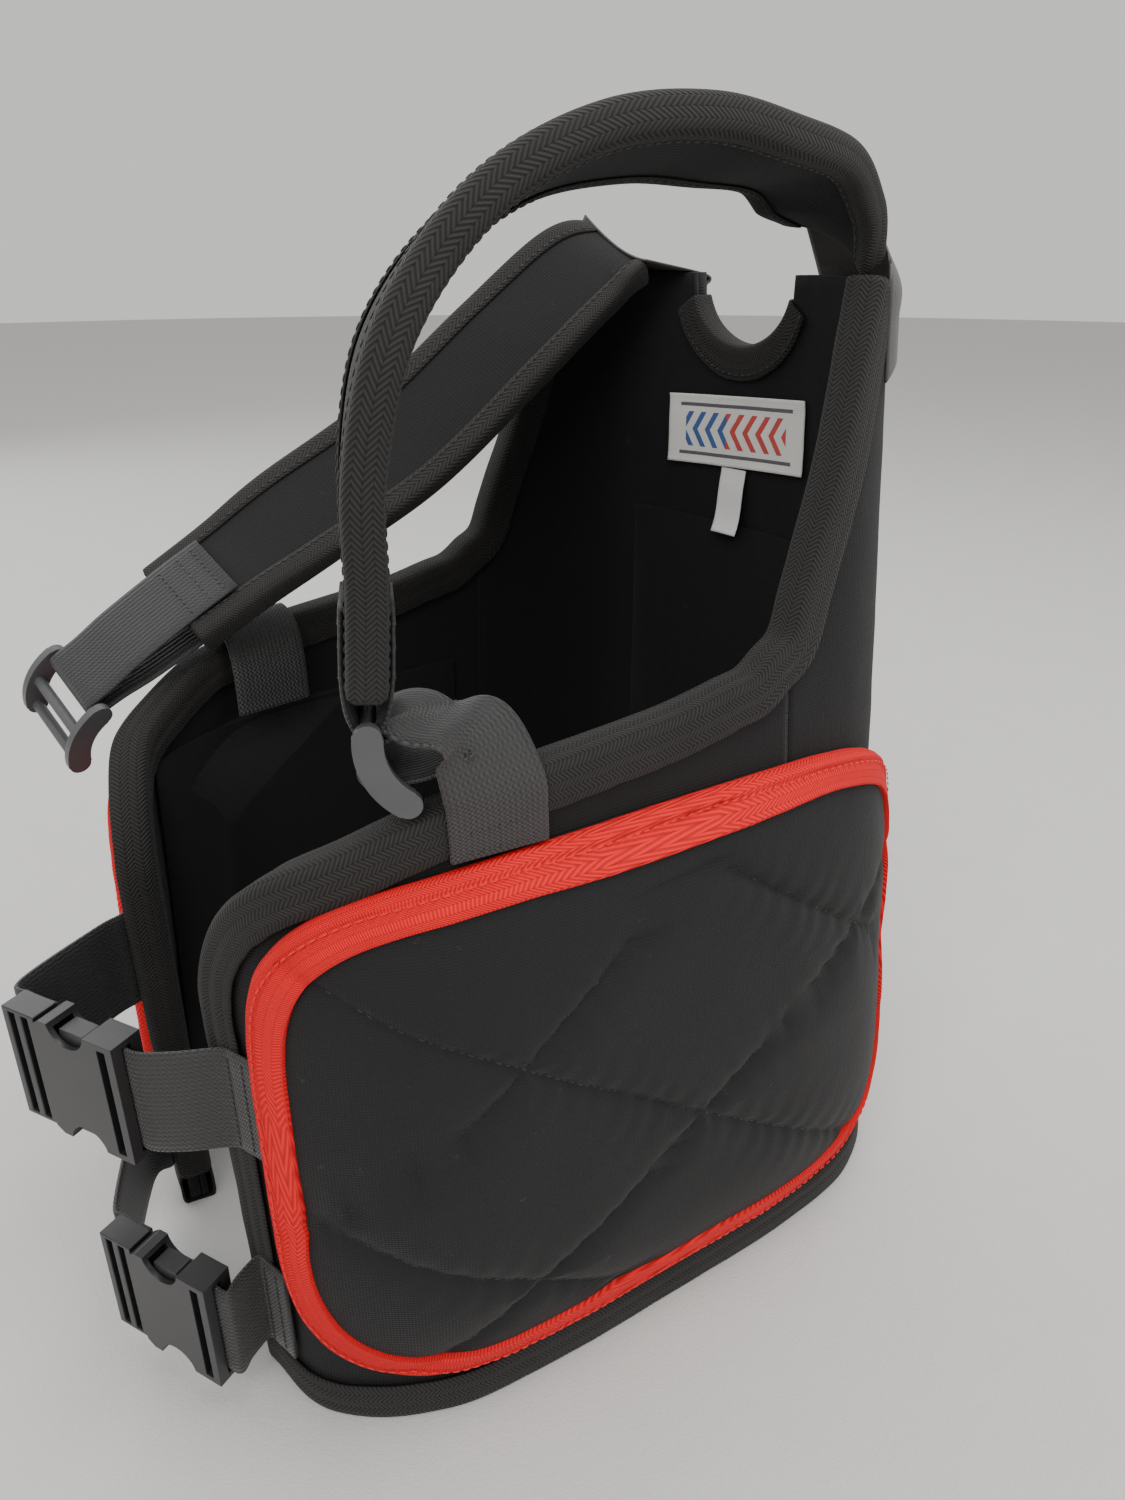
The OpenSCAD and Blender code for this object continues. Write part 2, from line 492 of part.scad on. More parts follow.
module male_webbing(upper) color([0.24, 0.24, 0.25]) {
    x = female_len + mouth_gap;
    y = -buckle_t / 2 + 1 - web_t / 2 - 0.5;
    sweep(ribbon(flat_route([
        panel_point(upper, 21, -1), panel_point(upper, 14, -1), panel_point(upper, 8, -1, 1),
        panel_point(upper, 2, -1, 9), buckle_point(upper, x + male_len + 8, y - 3),
        buckle_point(upper, x + male_len, y), buckle_point(upper, x + 2, y)]),
        0, 6, 30, web_section(wide_web)));
}

// ---- label below the neck, and a care tag sewn under it ----
label_z = 284;
module woven_piece(w, z0, z1, lean) {
    function layer(n) = [for (i = [0:3]) [for (j = [0:6])
        around(w * (j / 6 - 0.5), z0 + (z1 - z0) * i / 3, n - wall - gap - lean * (1 - i / 3))]];
    sheet_between(layer(0), layer(-0.9));
}
module label_patch() color([0.85, 0.85, 0.83])
    mirror([1, 0, 0]) woven_piece(96, label_z - 14, label_z + 14, 0);
module care_tag() color([0.8, 0.8, 0.8]) mirror([1, 0, 0]) woven_piece(16, label_z - 40, label_z - 14.5, 7);

side_shell();  // side_shell_left
right_side() side_shell();  // side_shell_right
side_lining();  // side_lining_left
right_side() side_lining();  // side_lining_right
rib_plate();  // rib_plate_left
right_side() rib_plate();  // rib_plate_right
rib_pad();  // rib_pad_left
right_side() rib_pad();  // rib_pad_right
rib_tape();  // rib_tape_left
right_side() rib_tape();  // rib_tape_right
inner_pad();  // inner_pad_left
right_side() inner_pad();  // inner_pad_right
back_shell();
back_lining();
back_pad();
hem_binding();
neck_binding();
arm_binding();  // arm_binding_left
right_side() arm_binding();  // arm_binding_right
strap_pad(left_route, 40);  // strap_pad_left
strap_pad(right_route, 30);  // strap_pad_right
strap_binding(left_route, 40, 1);  // strap_outer_binding_left
strap_binding(right_route, 30, -1);  // strap_outer_binding_right
strap_binding(left_route, 40, -1);  // strap_neck_binding_left
strap_binding(right_route, 30, 1);  // strap_neck_binding_right
shoulder_patch();  // shoulder_patch_left
right_side() shoulder_patch();  // shoulder_patch_right
strap_webbing(left_route, bar_reach[0]);  // strap_webbing_left
strap_webbing(right_route, bar_reach[1]);  // strap_webbing_right
place(left_lock) ladder_lock();  // ladder_lock_left
place(right_lock) ladder_lock();  // ladder_lock_right
tab_webbing_left();
tab_webbing_right();
at_buckle(true) buckle_female();  // buckle_female_upper
at_buckle(false) buckle_female();  // buckle_female_lower
at_buckle(true) buckle_male();  // buckle_male_upper
at_buckle(false) buckle_male();  // buckle_male_lower
at_buckle(true) squeeze_arm(1);  // squeeze_arm_upper_top
at_buckle(true) squeeze_arm(-1);  // squeeze_arm_upper_bottom
at_buckle(false) squeeze_arm(1);  // squeeze_arm_lower_top
at_buckle(false) squeeze_arm(-1);  // squeeze_arm_lower_bottom
female_webbing(true);  // female_webbing_upper
female_webbing(false);  // female_webbing_lower
male_webbing(true);  // male_webbing_upper
male_webbing(false);  // male_webbing_lower
label_patch();
care_tag();
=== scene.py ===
import math

import bmesh
import bpy
from mathutils import Matrix, Vector, noise


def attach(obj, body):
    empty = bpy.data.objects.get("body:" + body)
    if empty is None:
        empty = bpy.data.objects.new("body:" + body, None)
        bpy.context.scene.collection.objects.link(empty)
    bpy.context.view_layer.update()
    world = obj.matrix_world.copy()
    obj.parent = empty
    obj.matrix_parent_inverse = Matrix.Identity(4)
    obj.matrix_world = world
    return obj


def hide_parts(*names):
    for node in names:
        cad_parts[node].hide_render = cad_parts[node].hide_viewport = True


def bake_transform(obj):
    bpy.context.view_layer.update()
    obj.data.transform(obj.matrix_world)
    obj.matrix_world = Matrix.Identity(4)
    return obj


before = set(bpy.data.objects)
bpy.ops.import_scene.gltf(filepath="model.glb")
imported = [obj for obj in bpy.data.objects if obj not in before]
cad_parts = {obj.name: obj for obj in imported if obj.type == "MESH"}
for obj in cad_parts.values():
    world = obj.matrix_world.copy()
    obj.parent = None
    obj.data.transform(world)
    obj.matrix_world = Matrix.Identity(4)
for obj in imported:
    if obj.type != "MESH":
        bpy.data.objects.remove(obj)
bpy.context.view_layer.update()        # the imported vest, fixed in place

mm = 0.001
print("frame loaded")

# ---- camera, floor and lights
cameraLook = {"place": (0.303, -0.333, 0.350), "turn": 52.5, "down": 25.0, "lens": 26.0}
lampLook = [
    {"name": "keyLamp", "place": (0.9, -1.3, 1.5), "size": 1.3, "power": 26, "tint": (1.0, 0.985, 0.96)},
    {"name": "fillLamp", "place": (-1.5, -0.5, 1.0), "size": 1.4, "power": 13, "tint": (0.96, 0.98, 1.0)},
    {"name": "topLamp", "place": (0.1, 0.3, 1.7), "size": 1.2, "power": 20, "tint": (1.0, 1.0, 1.0)},
    {"name": "sideLamp", "place": (1.7, 0.5, 0.7), "size": 1.2, "power": 10, "tint": (1.0, 0.99, 0.97)},
]


def addCamera(look):
    data = bpy.data.cameras.new("camera")
    data.sensor_fit = "VERTICAL"
    data.sensor_height = 36
    data.lens = look["lens"]
    camera = bpy.data.objects.new("camera", data)
    camera.location = look["place"]
    camera.rotation_euler = (math.radians(90 - look["down"]), 0, math.radians(look["turn"]))
    bpy.context.scene.collection.objects.link(camera)
    bpy.context.scene.camera = camera


def addLamp(look):
    data = bpy.data.lights.new(look["name"], "AREA")
    data.energy = look["power"]
    data.size = look["size"]
    data.color = look["tint"]
    lamp = bpy.data.objects.new(look["name"], data)
    lamp.location = look["place"]
    aim = Vector((0, -0.13, 0.15)) - Vector(look["place"])
    lamp.rotation_euler = aim.to_track_quat("-Z", "Y").to_euler()
    bpy.context.scene.collection.objects.link(lamp)


addCamera(cameraLook)
for look in lampLook:
    addLamp(look)
world = bpy.data.worlds.new("studio")
bpy.context.scene.world = world
world.use_nodes = True
world.node_tree.nodes["Background"].inputs["Color"].default_value = (0.80, 0.79, 0.775, 1)
world.node_tree.nodes["Background"].inputs["Strength"].default_value = 0.95
print("camera and lamps ready")


# ---- finishes
class Wire:
    # wraps a node socket, so that maths on it adds Math nodes
    def __init__(self, tree, socket=None):
        self.tree = tree
        self.socket = socket

    def node(self, kind, settings=None, sockets=None, out=0):
        made = self.tree.nodes.new(kind)
        for key, value in (settings or {}).items():
            if key == "stops":
                ramp = made.color_ramp.elements
                while len(ramp) < len(value):
                    ramp.new(0.5)
                for stop, (place, tone) in zip(ramp, value):
                    stop.position = place
                    stop.color = (*tone, 1)
            else:
                setattr(made, key, value)
        for key, value in (sockets or {}).items():
            if isinstance(value, Wire):
                self.tree.links.new(value.socket, made.inputs[key])
            else:
                made.inputs[key].default_value = value
        return Wire(self.tree, made.outputs[out])

    def maths(self, operation, *values):
        return self.node("ShaderNodeMath", {"operation": operation}, dict(enumerate(values)))

    def __add__(self, other):
        return self.maths("ADD", self, other)

    def __sub__(self, other):
        return self.maths("SUBTRACT", self, other)

    def __rsub__(self, other):
        return self.maths("SUBTRACT", other, self)

    def __mul__(self, other):
        return self.maths("MULTIPLY", self, other)

    def __truediv__(self, other):
        return self.maths("DIVIDE", self, other)

    def __lt__(self, other):
        return self.maths("LESS_THAN", self, other)

    def __abs__(self):
        return self.maths("ABSOLUTE", self)

    __radd__ = __add__
    __rmul__ = __mul__

    def fract(self):
        return self.maths("FRACT", self)

    def wave(self):
        return self.maths("SINE", self * (2 * math.pi)) * 0.5 + 0.5

    def zigzag(self):
        return abs(self.fract() - 0.5) * 2

    def blendTones(self, low, high):
        tones = {0: self}
        for key, tone in ((6, low), (7, high)):
            tones[key] = tone if isinstance(tone, Wire) else (*tone, 1)
        return self.node("ShaderNodeMix", {"data_type": "RGBA"}, tones, 2)


def newFinish(name, **constants):
    # a material whose unchanging values sit on the shader's own sockets
    material = bpy.data.materials.new(name)
    material.use_nodes = True
    shader = material.node_tree.nodes["Principled BSDF"]
    for key, value in constants.items():
        shader.inputs[key.replace("_", " ")].default_value = value
    wire = Wire(material.node_tree)
    return material, shader, wire


def noiseAt(wire, place, scale, detail=3.0, rough=0.55):
    return wire.node("ShaderNodeTexNoise", None,
                     {"Vector": place, "Scale": scale, "Detail": detail, "Roughness": rough})


def setLook(material, shader, wire, tone, rough, height, depth, strength=0.8):
    links = material.node_tree.links
    links.new(tone.socket, shader.inputs["Base Color"])
    links.new(rough.socket, shader.inputs["Roughness"])
    bump = wire.node("ShaderNodeBump", None, {"Strength": strength, "Distance": depth, "Height": height})
    links.new(bump.socket, shader.inputs["Normal"])
    return material


def clothPlace(wire):
    place = wire.node("ShaderNodeUVMap", {"uv_map": "cloth"})
    apart = "ShaderNodeSeparateXYZ"
    return wire.node(apart, None, {"Vector": place}), wire.node(apart, None, {"Vector": place}, 1)


def knitFinish(name, dark, light, rough, rib, sheen):
    # close knit over foam: rows of small loops, a little lint and wear
    material, shader, wire = newFinish(name, Sheen_Weight=sheen, Sheen_Roughness=0.4, Specular_IOR_Level=0.3)
    along, across = clothPlace(wire)
    spot = wire.node("ShaderNodeTexCoord", None, None, 3)
    row = (across / rib).zigzag()
    loop = (along / rib + row * 0.5).wave()
    knit = row * 0.55 + loop * 0.45
    cloud = noiseAt(wire, spot, 26)
    grain = noiseAt(wire, spot, 900, 2.0)
    lint = noiseAt(wire, spot, 210, 4.0, 0.7)
    shade = knit * 0.35 + cloud * 0.45 + grain * 0.3 - 0.1
    tone = shade.blendTones(dark, light)
    tone = (lint.maths("SMOOTH_MIN", (lint - 0.66) * 6, 1.0, 0.1) * (1 - (lint < 0.66)) * 0.3).blendTones(
        tone, tuple(min(1, v * 3.2 + 0.05) for v in light))
    height = knit * 0.7 + grain * 0.5 + cloud * 1.2
    return setLook(material, shader, wire, tone, rough + cloud * 0.12, height, 0.00035)


def tapeFinish(name, dark, light, rough, column, pitch, sheen):
    # herringbone tape: slanting ribs that turn at every column
    material, shader, wire = newFinish(name, Sheen_Weight=sheen, Sheen_Roughness=0.35,
                                       Specular_IOR_Level=0.35)
    along, across = clothPlace(wire)
    spot = wire.node("ShaderNodeTexCoord", None, None, 3)
    slant = (across / (column * 2)).zigzag() * (column / pitch)
    rib = (along / pitch + slant).wave()
    edge = abs((across / column).fract() - 0.5) * 2
    cloud = noiseAt(wire, spot, 34)
    fray = noiseAt(wire, spot, 1300, 2.0)
    shade = rib * 0.75 + fray * 0.35 - edge.maths("POWER", edge, 10.0) * 0.3 + cloud * 0.3 - 0.22
    tone = shade.blendTones(dark, light)
    height = rib * 1.0 + fray * 0.4 - edge.maths("POWER", edge, 8.0) * 0.5
    return setLook(material, shader, wire, tone, rough + fray * 0.1, height, 0.0003)


def webFinish(name, dark, light, rough):
    # flat woven webbing: ribs across, fine columns along, bound edges
    material, shader, wire = newFinish(name, Sheen_Weight=0.15, Sheen_Roughness=0.4, Specular_IOR_Level=0.45)
    along, across = clothPlace(wire)
    spot = wire.node("ShaderNodeTexCoord", None, None, 3)
    column = (across / 0.0017).wave()
    check = ((across / 0.0017).fract() < 0.5) * 0.5
    pick = (along / 0.0013 + check).wave()
    fray = noiseAt(wire, spot, 1500, 2.0)
    cloud = noiseAt(wire, spot, 40)
    shade = pick * 0.45 + column * 0.3 + fray * 0.3 + cloud * 0.25 - 0.15
    tone = shade.blendTones(dark, light)
    height = pick + column * 0.6 + fray * 0.3
    return setLook(material, shader, wire, tone, rough + pick * 0.08, height, 0.00032)


def plasticFinish(name, dark, light, rough, coat):
    # moulded plastic with a fine spark-eroded grain and faint scuffs
    material, shader, wire = newFinish(name, Specular_IOR_Level=0.5, Coat_Roughness=0.3)
    spot = wire.node("ShaderNodeTexCoord", None, None, 3)
    grain = noiseAt(wire, spot, 2600, 2.0)
    cloud = noiseAt(wire, spot, 60)
    scuff = noiseAt(wire, spot, 320, 5.0, 0.75)
    rubbed = (scuff - 0.62) * 3 * (1 - (scuff < 0.62))
    tone = (cloud * 0.5 + grain * 0.25 + rubbed * 0.6).blendTones(dark, light)
    material.node_tree.links.new((rubbed * 0.3 + coat).socket, shader.inputs["Coat Weight"])
    shine = rough + grain * 0.12 - rubbed * 0.1
    return setLook(material, shader, wire, tone, shine, grain + scuff * 0.6, 0.00012, 0.6)


def smoothFinish(name, dark, light, rough):
    # coated cloth with a soft pebble and a low shine
    material, shader, wire = newFinish(name, Specular_IOR_Level=0.45, Sheen_Weight=0.1)
    spot = wire.node("ShaderNodeTexCoord", None, None, 3)
    pebble = wire.node("ShaderNodeTexVoronoi", None, {"Vector": spot, "Scale": 1100.0})
    cloud = noiseAt(wire, spot, 38, 4.0)
    tone = (cloud * 0.8 + pebble * 0.25).blendTones(dark, light)
    return setLook(material, shader, wire, tone, rough + cloud * 0.14, pebble * 0.6 + cloud * 1.5, 0.0002)


def labelFinish(name):
    # pale damask with plain embroidered chevrons and two bars
    material, shader, wire = newFinish(name, Sheen_Weight=0.2, Specular_IOR_Level=0.4)
    along, across = clothPlace(wire)
    spot = wire.node("ShaderNodeTexCoord", None, None, 3)
    weave = (along / 0.0006).wave() * (across / 0.0006).wave()
    side = abs(across)
    inside = (side < 0.0068) * (abs(along) < 0.034)
    arrow = ((along + side * 0.9) / 0.0086).fract() < 0.42
    bars = (abs(side - 0.0095) < 0.0007) * (abs(along) < 0.038)
    right = along < 0.006
    cloth = (weave * 0.5 + noiseAt(wire, spot, 60) * 0.6).blendTones((0.62, 0.61, 0.58), (0.86, 0.85, 0.82))
    thread = right.blendTones((0.03, 0.10, 0.30), (0.55, 0.05, 0.04))
    tone = (inside * arrow).blendTones(cloth, thread)
    tone = bars.blendTones(tone, (0.09, 0.09, 0.1))
    rough = 0.62 + weave * 0.12
    return setLook(material, shader, wire, tone, rough, weave + inside * arrow * 2, 0.00018)


knit = knitFinish("blackKnit", (0.0035, 0.0035, 0.004), (0.011, 0.0108, 0.0115), 0.8, 0.0011, 0.05)
quiltKnit = knitFinish("quiltKnit", (0.004, 0.004, 0.0045), (0.0135, 0.013, 0.0135), 0.78, 0.0009, 0.06)
plush = knitFinish("liningKnit", (0.0025, 0.0025, 0.003), (0.008, 0.008, 0.0088), 0.88, 0.0007, 0.05)
darkTape = tapeFinish("darkTape", (0.003, 0.0028, 0.0028), (0.028, 0.026, 0.0245), 0.8, 0.0026, 0.0015, 0.04)
redTape = tapeFinish("redTape", (0.42, 0.0, 0.002), (0.88, 0.004, 0.008), 0.75, 0.0024, 0.0014, 0.0)
webbing = webFinish("webbing", (0.006, 0.006, 0.0066), (0.034, 0.033, 0.033), 0.48)
strapWeb = webFinish("strapWebbing", (0.004, 0.004, 0.0045), (0.018, 0.018, 0.019), 0.55)
buckleShell = plasticFinish("bucklePlastic", (0.008, 0.008, 0.009), (0.022, 0.022, 0.024), 0.32, 0.08)
lockShell = plasticFinish("lockPlastic", (0.045, 0.046, 0.049), (0.085, 0.087, 0.092), 0.36, 0.08)
patchCloth = smoothFinish("patchCloth", (0.012, 0.0105, 0.0095), (0.034, 0.029, 0.026), 0.42)
labelCloth = labelFinish("labelCloth")
tagCloth = smoothFinish("tagCloth", (0.55, 0.55, 0.54), (0.78, 0.78, 0.77), 0.5)
darkThread = smoothFinish("darkThread", (0.005, 0.005, 0.005), (0.02, 0.0195, 0.019), 0.5)
redThread = smoothFinish("redThread", (0.45, 0.001, 0.003), (0.8, 0.006, 0.01), 0.6)
floorPaint = smoothFinish("floorPaint", (0.50, 0.495, 0.485), (0.545, 0.54, 0.53), 0.8)
print("finishes ready")

# ---- the body's surface: plan at the hem, as the pattern was cut
cut = {"halfWidth": 110.0, "depth": 262.0, "frontY": -258.0, "shell": 4.6, "lining": 3.0, "gap": 0.4,
       "tape": 1.2, "tapeWide": 12.0, "sideHigh": 223.0, "sideLong": 215.0, "corner": 38.0,
       "shoulder": 341.0, "neckDrop": 26.0, "neckHalf": 34.0, "seamHalf": 120.0}
planShares = [(40 / 110, 0), (0.65, 0.03), (0.85, 0.145), (0.925, 0.305), (0.965, 0.495),
              (0.995, 0.687), (0.965, 0.847), (0.8, 0.954), (0.45, 0.992), (0, 1)]
topShares = [(0, 0.84), (40, 0.895), (70, 0.945), (110, 0.98), (165, 1), (198, 1.025), (215, 1.07)]
wall = cut["shell"] + 0.1 + cut["lining"]
midY = cut["frontY"] + cut["depth"] / 2


def bend(a, b, c, d, u):
    return 0.5 * (2 * b + (c - a) * u + (2 * a - 5 * b + 4 * c - d) * u * u
                  + (3 * b - a - 3 * c + d) * u ** 3)


def along(points, u):
    last = len(points) - 1
    i = min(last - 1, max(0, int(math.floor(u))))
    before = points[i - 1] if i else 2 * points[0] - points[1]
    after = points[i + 2] if i < last - 1 else 2 * points[last] - points[last - 1]
    return bend(before, points[i], points[i + 1], after, u - i)


def between(pairs, x):
    # straight-line value of a list of (place, value)
    for (a, p), (b, q) in zip(pairs, pairs[1:]):
        if x <= b:
            return p + (q - p) * max(0, x - a) / (b - a)
    return pairs[-1][1]


planPoints = [Vector((x * cut["halfWidth"], cut["frontY"] + y * cut["depth"], 0)) for x, y in planShares]
planTurned = planPoints + [Vector((-planPoints[-2].x, planPoints[-2].y, 0))]
fine = [along(planTurned, i / 200) for i in range(9 * 200 + 1)]
lengths = [0.0]
for a, b in zip(fine, fine[1:]):
    lengths.append(lengths[-1] + (b - a).length)
girth = lengths[-1]
planTable = []                    # one entry a millimetre: x, y and the outward direction
k = 0
for step in range(int(girth) + 2):
    while k < len(fine) - 2 and lengths[k + 1] < step:
        k += 1
    share = (min(step, girth) - lengths[k]) / (lengths[k + 1] - lengths[k])
    spot = fine[k].lerp(fine[k + 1], share)
    line = (fine[min(k + 4, len(fine) - 1)] - fine[max(k - 3, 0)]).normalized()
    planTable.append((spot.x, spot.y, line.y, -line.x))


def skin(a, z, n):
    # a point at distance a from the front edge, height z and rise n over the outer face, in metres
    clear = min(max(a, 0.0), girth - 0.001)
    i = int(clear)
    f = clear - i
    p, q = planTable[i], planTable[i + 1]
    x, y, mx, my = (p[j] + (q[j] - p[j]) * f for j in range(4))
    flare = max(0.0, 1 - a / 60)
    return Vector(((x * (1 - 0.0007 * z) + n * mx) * mm,
                   (midY + (y - midY) * (1 - 0.0003 * z) + n * my - 0.055 * z * flare * flare) * mm, z * mm))


def around(t, z, n):
    spot = skin(girth - abs(t), z, n)
    return Vector((-spot.x, spot.y, spot.z)) if t < 0 else spot


def sideTop(a):
    high = cut["sideHigh"] * between(topShares, a)
    r = cut["corner"]
    return high - (r - math.sqrt(max(0, r * r - (r - a) ** 2)) if a < r else 0)


seamTop = sideTop(cut["sideLong"])
armEdge = [Vector(p) for p in ((cut["sideLong"], seamTop, 0), (225, 262, 0), (238, 290, 0), (250, 322, 0),
                               (girth - cut["seamHalf"], cut["shoulder"], 0))]


def armT(z):
    if z < seamTop:
        return girth - cut["sideLong"]
    return girth - between([(p.y, p.x) for p in armEdge], z)


def backTop(t):
    if abs(t) < cut["neckHalf"]:
        return cut["shoulder"] - cut["neckDrop"] * math.sqrt(1 - (t / cut["neckHalf"]) ** 2)
    return cut["shoulder"]


# ---- making pieces
def finishPiece(name, mesh, material, body, nodes=(), smooth=True):
    data = bpy.data.meshes.new(name)
    mesh.to_mesh(data)
    mesh.free()
    piece = bpy.data.objects.new(name, data)
    bpy.context.scene.collection.objects.link(piece)
    data.materials.append(material)
    for face in data.polygons:
        face.use_smooth = smooth
    if isinstance(body, str):
        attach(piece, body)
    if nodes:
        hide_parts(*nodes)
    return piece


def mappedGrid(cells, place, size, turned=False, ring=False):
    # a flat grid, bent so that (0..1, 0..1) goes where place says; size is its cut size in metres
    mesh = bmesh.new()
    cloth = mesh.loops.layers.uv.new("cloth")
    bmesh.ops.create_grid(mesh, x_segments=cells[0], y_segments=cells[1], size=1)
    for face in mesh.faces:
        for loop in face.loops:
            s, t = (loop.vert.co.x + 1) / 2, (loop.vert.co.y + 1) / 2
            loop[cloth].uv = size(s, t) if callable(size) else (s * size[0], (t - 0.5) * size[1])
    for vert in mesh.verts:
        vert.co = place((vert.co.x + 1) / 2, (vert.co.y + 1) / 2)
    if ring:
        bmesh.ops.remove_doubles(mesh, verts=mesh.verts, dist=1e-6)
    if turned:
        bmesh.ops.reverse_faces(mesh, faces=mesh.faces)
    return mesh


def closeEnds(mesh):
    edges = [e for e in mesh.edges if e.is_boundary]
    if edges:
        bmesh.ops.holes_fill(mesh, edges=edges, sides=0)
    bmesh.ops.recalc_face_normals(mesh, faces=mesh.faces)
    return mesh


def thicken(piece, thick, inward=True):
    made = piece.modifiers.new("thickness", "SOLIDIFY")
    made.thickness = thick
    made.offset = -1 if inward else 1
    made.use_even_offset = False
    return piece


def soften(piece, levels=1):
    made = piece.modifiers.new("soft", "SUBSURF")
    made.levels = levels
    made.render_levels = levels
    return piece


sides = (("left", 1), ("right", -1))


def onSide(side, spot):
    return Vector((side * spot.x, spot.y, spot.z))


def stitchRow(name, spots, material, body, pitch=3.0, thick=0.32, sink=0.05, skew=0.0):
    # spots: (place, outward) along the seam; each stitch is one small bead pulled into the cloth
    mesh = bmesh.new()
    run = [0.0]
    for (p, _), (q, _) in zip(spots, spots[1:]):
        run.append(run[-1] + (q - p).length)
    count = max(2, int(run[-1] / (pitch * mm)))
    k = 0
    for j in range(count):
        goal = (j + 0.5) * run[-1] / count
        while k < len(run) - 2 and run[k + 1] < goal:
            k += 1
        share = (goal - run[k]) / max(1e-9, run[k + 1] - run[k])
        spot = spots[k][0].lerp(spots[k + 1][0], share)
        out = spots[k][1].lerp(spots[k + 1][1], share).normalized()
        line = (spots[k + 1][0] - spots[k][0]).normalized()
        across = out.cross(line).normalized()
        line = (line + across * skew).normalized()
        across = out.cross(line).normalized()
        turn = Matrix((line, across, out)).transposed().to_4x4()
        grow = Matrix.Diagonal((0.42 * pitch * mm, thick * mm, thick * mm * 0.8, 1))
        bmesh.ops.create_icosphere(mesh, subdivisions=1, radius=1,
                                   matrix=Matrix.Translation(spot - out * sink * mm) @ turn @ grow)
    return finishPiece(name, mesh, material, body)


def outwardAt(a, side):
    out = skin(a, 100, 1) - skin(a, 100, 0)
    return onSide(side, out).normalized()


print("pattern ready")

# ---- foam panels and their lining
panelLook = {"rows": 46, "columns": 96, "ripple": 0.35, "edge": 1.7}


def panelRipple(a, z):
    low = noise.noise(Vector((a * 0.028, z * 0.028, 3.1)))
    high = noise.noise(Vector((a * 0.09, z * 0.09, 7.7)))
    return panelLook["ripple"] * (low * 1.4 + high * 0.5)


def sidePanel(label, side, rise, thick, material, kind):
    edge = panelLook["edge"]

    def corner(s, t):
        a = edge + (cut["sideLong"] - 0.2 - edge) * s ** 1.25
        return a, edge + (sideTop(a - edge * (a < 60)) - 0.5 - edge) * t

    def place(s, t):
        a, z = corner(s, t)
        return onSide(side, skin(a, z, rise + panelRipple(a, z)))

    mesh = mappedGrid((panelLook["columns"], panelLook["rows"]), place,
                      lambda s, t: tuple(v * mm for v in corner(s, t)), side < 0)
    name = f"{kind}_{label}"
    return thicken(finishPiece(name, mesh, material, "vest", (name,)), thick * mm)


def backPanel(rise, thick, material, kind):
    edge = panelLook["edge"]

    def corner(s, t):
        u = 2 * s - 1
        z = edge + (backTop(u * cut["seamHalf"]) - 0.5 - edge) * t
        return u * (armT(z) - (0.5 if z > seamTop else 0.2)), z

    def place(s, t):
        x, z = corner(s, t)
        return around(x, z, rise + panelRipple(x + 400, z))

    mesh = mappedGrid((120, 72), place, lambda s, t: tuple(v * mm for v in corner(s, t)), True)
    return thicken(finishPiece(kind, mesh, material, "vest", (kind,)), thick * mm)


for label, side in sides:
    sidePanel(label, side, -0.4, cut["shell"] - 0.4, knit, "side_shell")
    sidePanel(label, side, -cut["shell"] - 0.3, cut["lining"] - 0.4, plush, "side_lining")
backPanel(-0.4, cut["shell"] - 0.4, knit, "back_shell")
backPanel(-cut["shell"] - 0.3, cut["lining"] - 0.4, plush, "back_lining")
print("panels made")

# ---- quilted rib pads under red tape
ribLook = {"front": 24.0, "back": 282.0, "low": 20.0, "high": 196.0, "rise": 14.0, "edge": 4.5,
           "power": 0.42,
           "crease": 3.2, "creaseWide": 3.4, "pucker": 0.28, "trim": 10.5}
# each quilting line: a point on it and its slope
quiltLines = [((98, 133), 0.78), ((120, 60), 0.58), ((98, 133), -0.68), ((174, 177), -0.69),
              ((60, 75), -0.62)]
ribMid = ((ribLook["front"] + ribLook["back"]) / 2, (ribLook["low"] + ribLook["high"]) / 2)


def ribPoint(turn, share):
    x, y = math.cos(turn), math.sin(turn)
    power = ribLook["power"]
    return (ribMid[0] + share * math.copysign(abs(x) ** power, x) * (ribLook["back"] - ribLook["front"]) / 2,
            ribMid[1] + share * math.copysign(abs(y) ** power, y) * (ribLook["high"] - ribLook["low"]) / 2)


def ribShare(a, z):
    # 0 in the middle of the pad, 1 on its edge
    x = abs(a - ribMid[0]) / (ribLook["back"] - ribLook["front"]) * 2
    y = abs(z - ribMid[1]) / (ribLook["high"] - ribLook["low"]) * 2
    k = 2 / ribLook["power"]
    return (x ** k + y ** k) ** (1 / k)


def quiltGap(a, z):
    # distance to the nearest quilting line, and the place along it
    best = (1e9, 0)
    for (a0, z0), slope in quiltLines:
        run = math.sqrt(1 + slope * slope)
        gap = abs((z - z0) - slope * (a - a0)) / run
        if gap < best[0]:
            best = (gap, ((a - a0) + slope * (z - z0)) / run)
    return best


def ribRise(a, z):
    share = min(1, ribShare(a, z))
    base = ribLook["edge"] + (ribLook["rise"] - ribLook["edge"]) * (1 - share ** 5)
    gap, run = quiltGap(a, z)
    dip = math.exp(-gap / ribLook["creaseWide"])
    pucker = math.sin(run * 0.62 + 2 * noise.noise(Vector((run * 0.06, gap * 0.1, 1)))) * math.exp(-gap / 9)
    lump = noise.noise(Vector((a * 0.035, z * 0.035, 5.0))) * 0.7
    rim = math.exp(-(1 - share) * 22)
    pull = math.sin(run * 0.4) * rim * 0.35
    keep = 1 - 0.6 * share ** 8
    return base - ribLook["crease"] * dip * keep + (pucker * ribLook["pucker"] + lump + pull) * keep


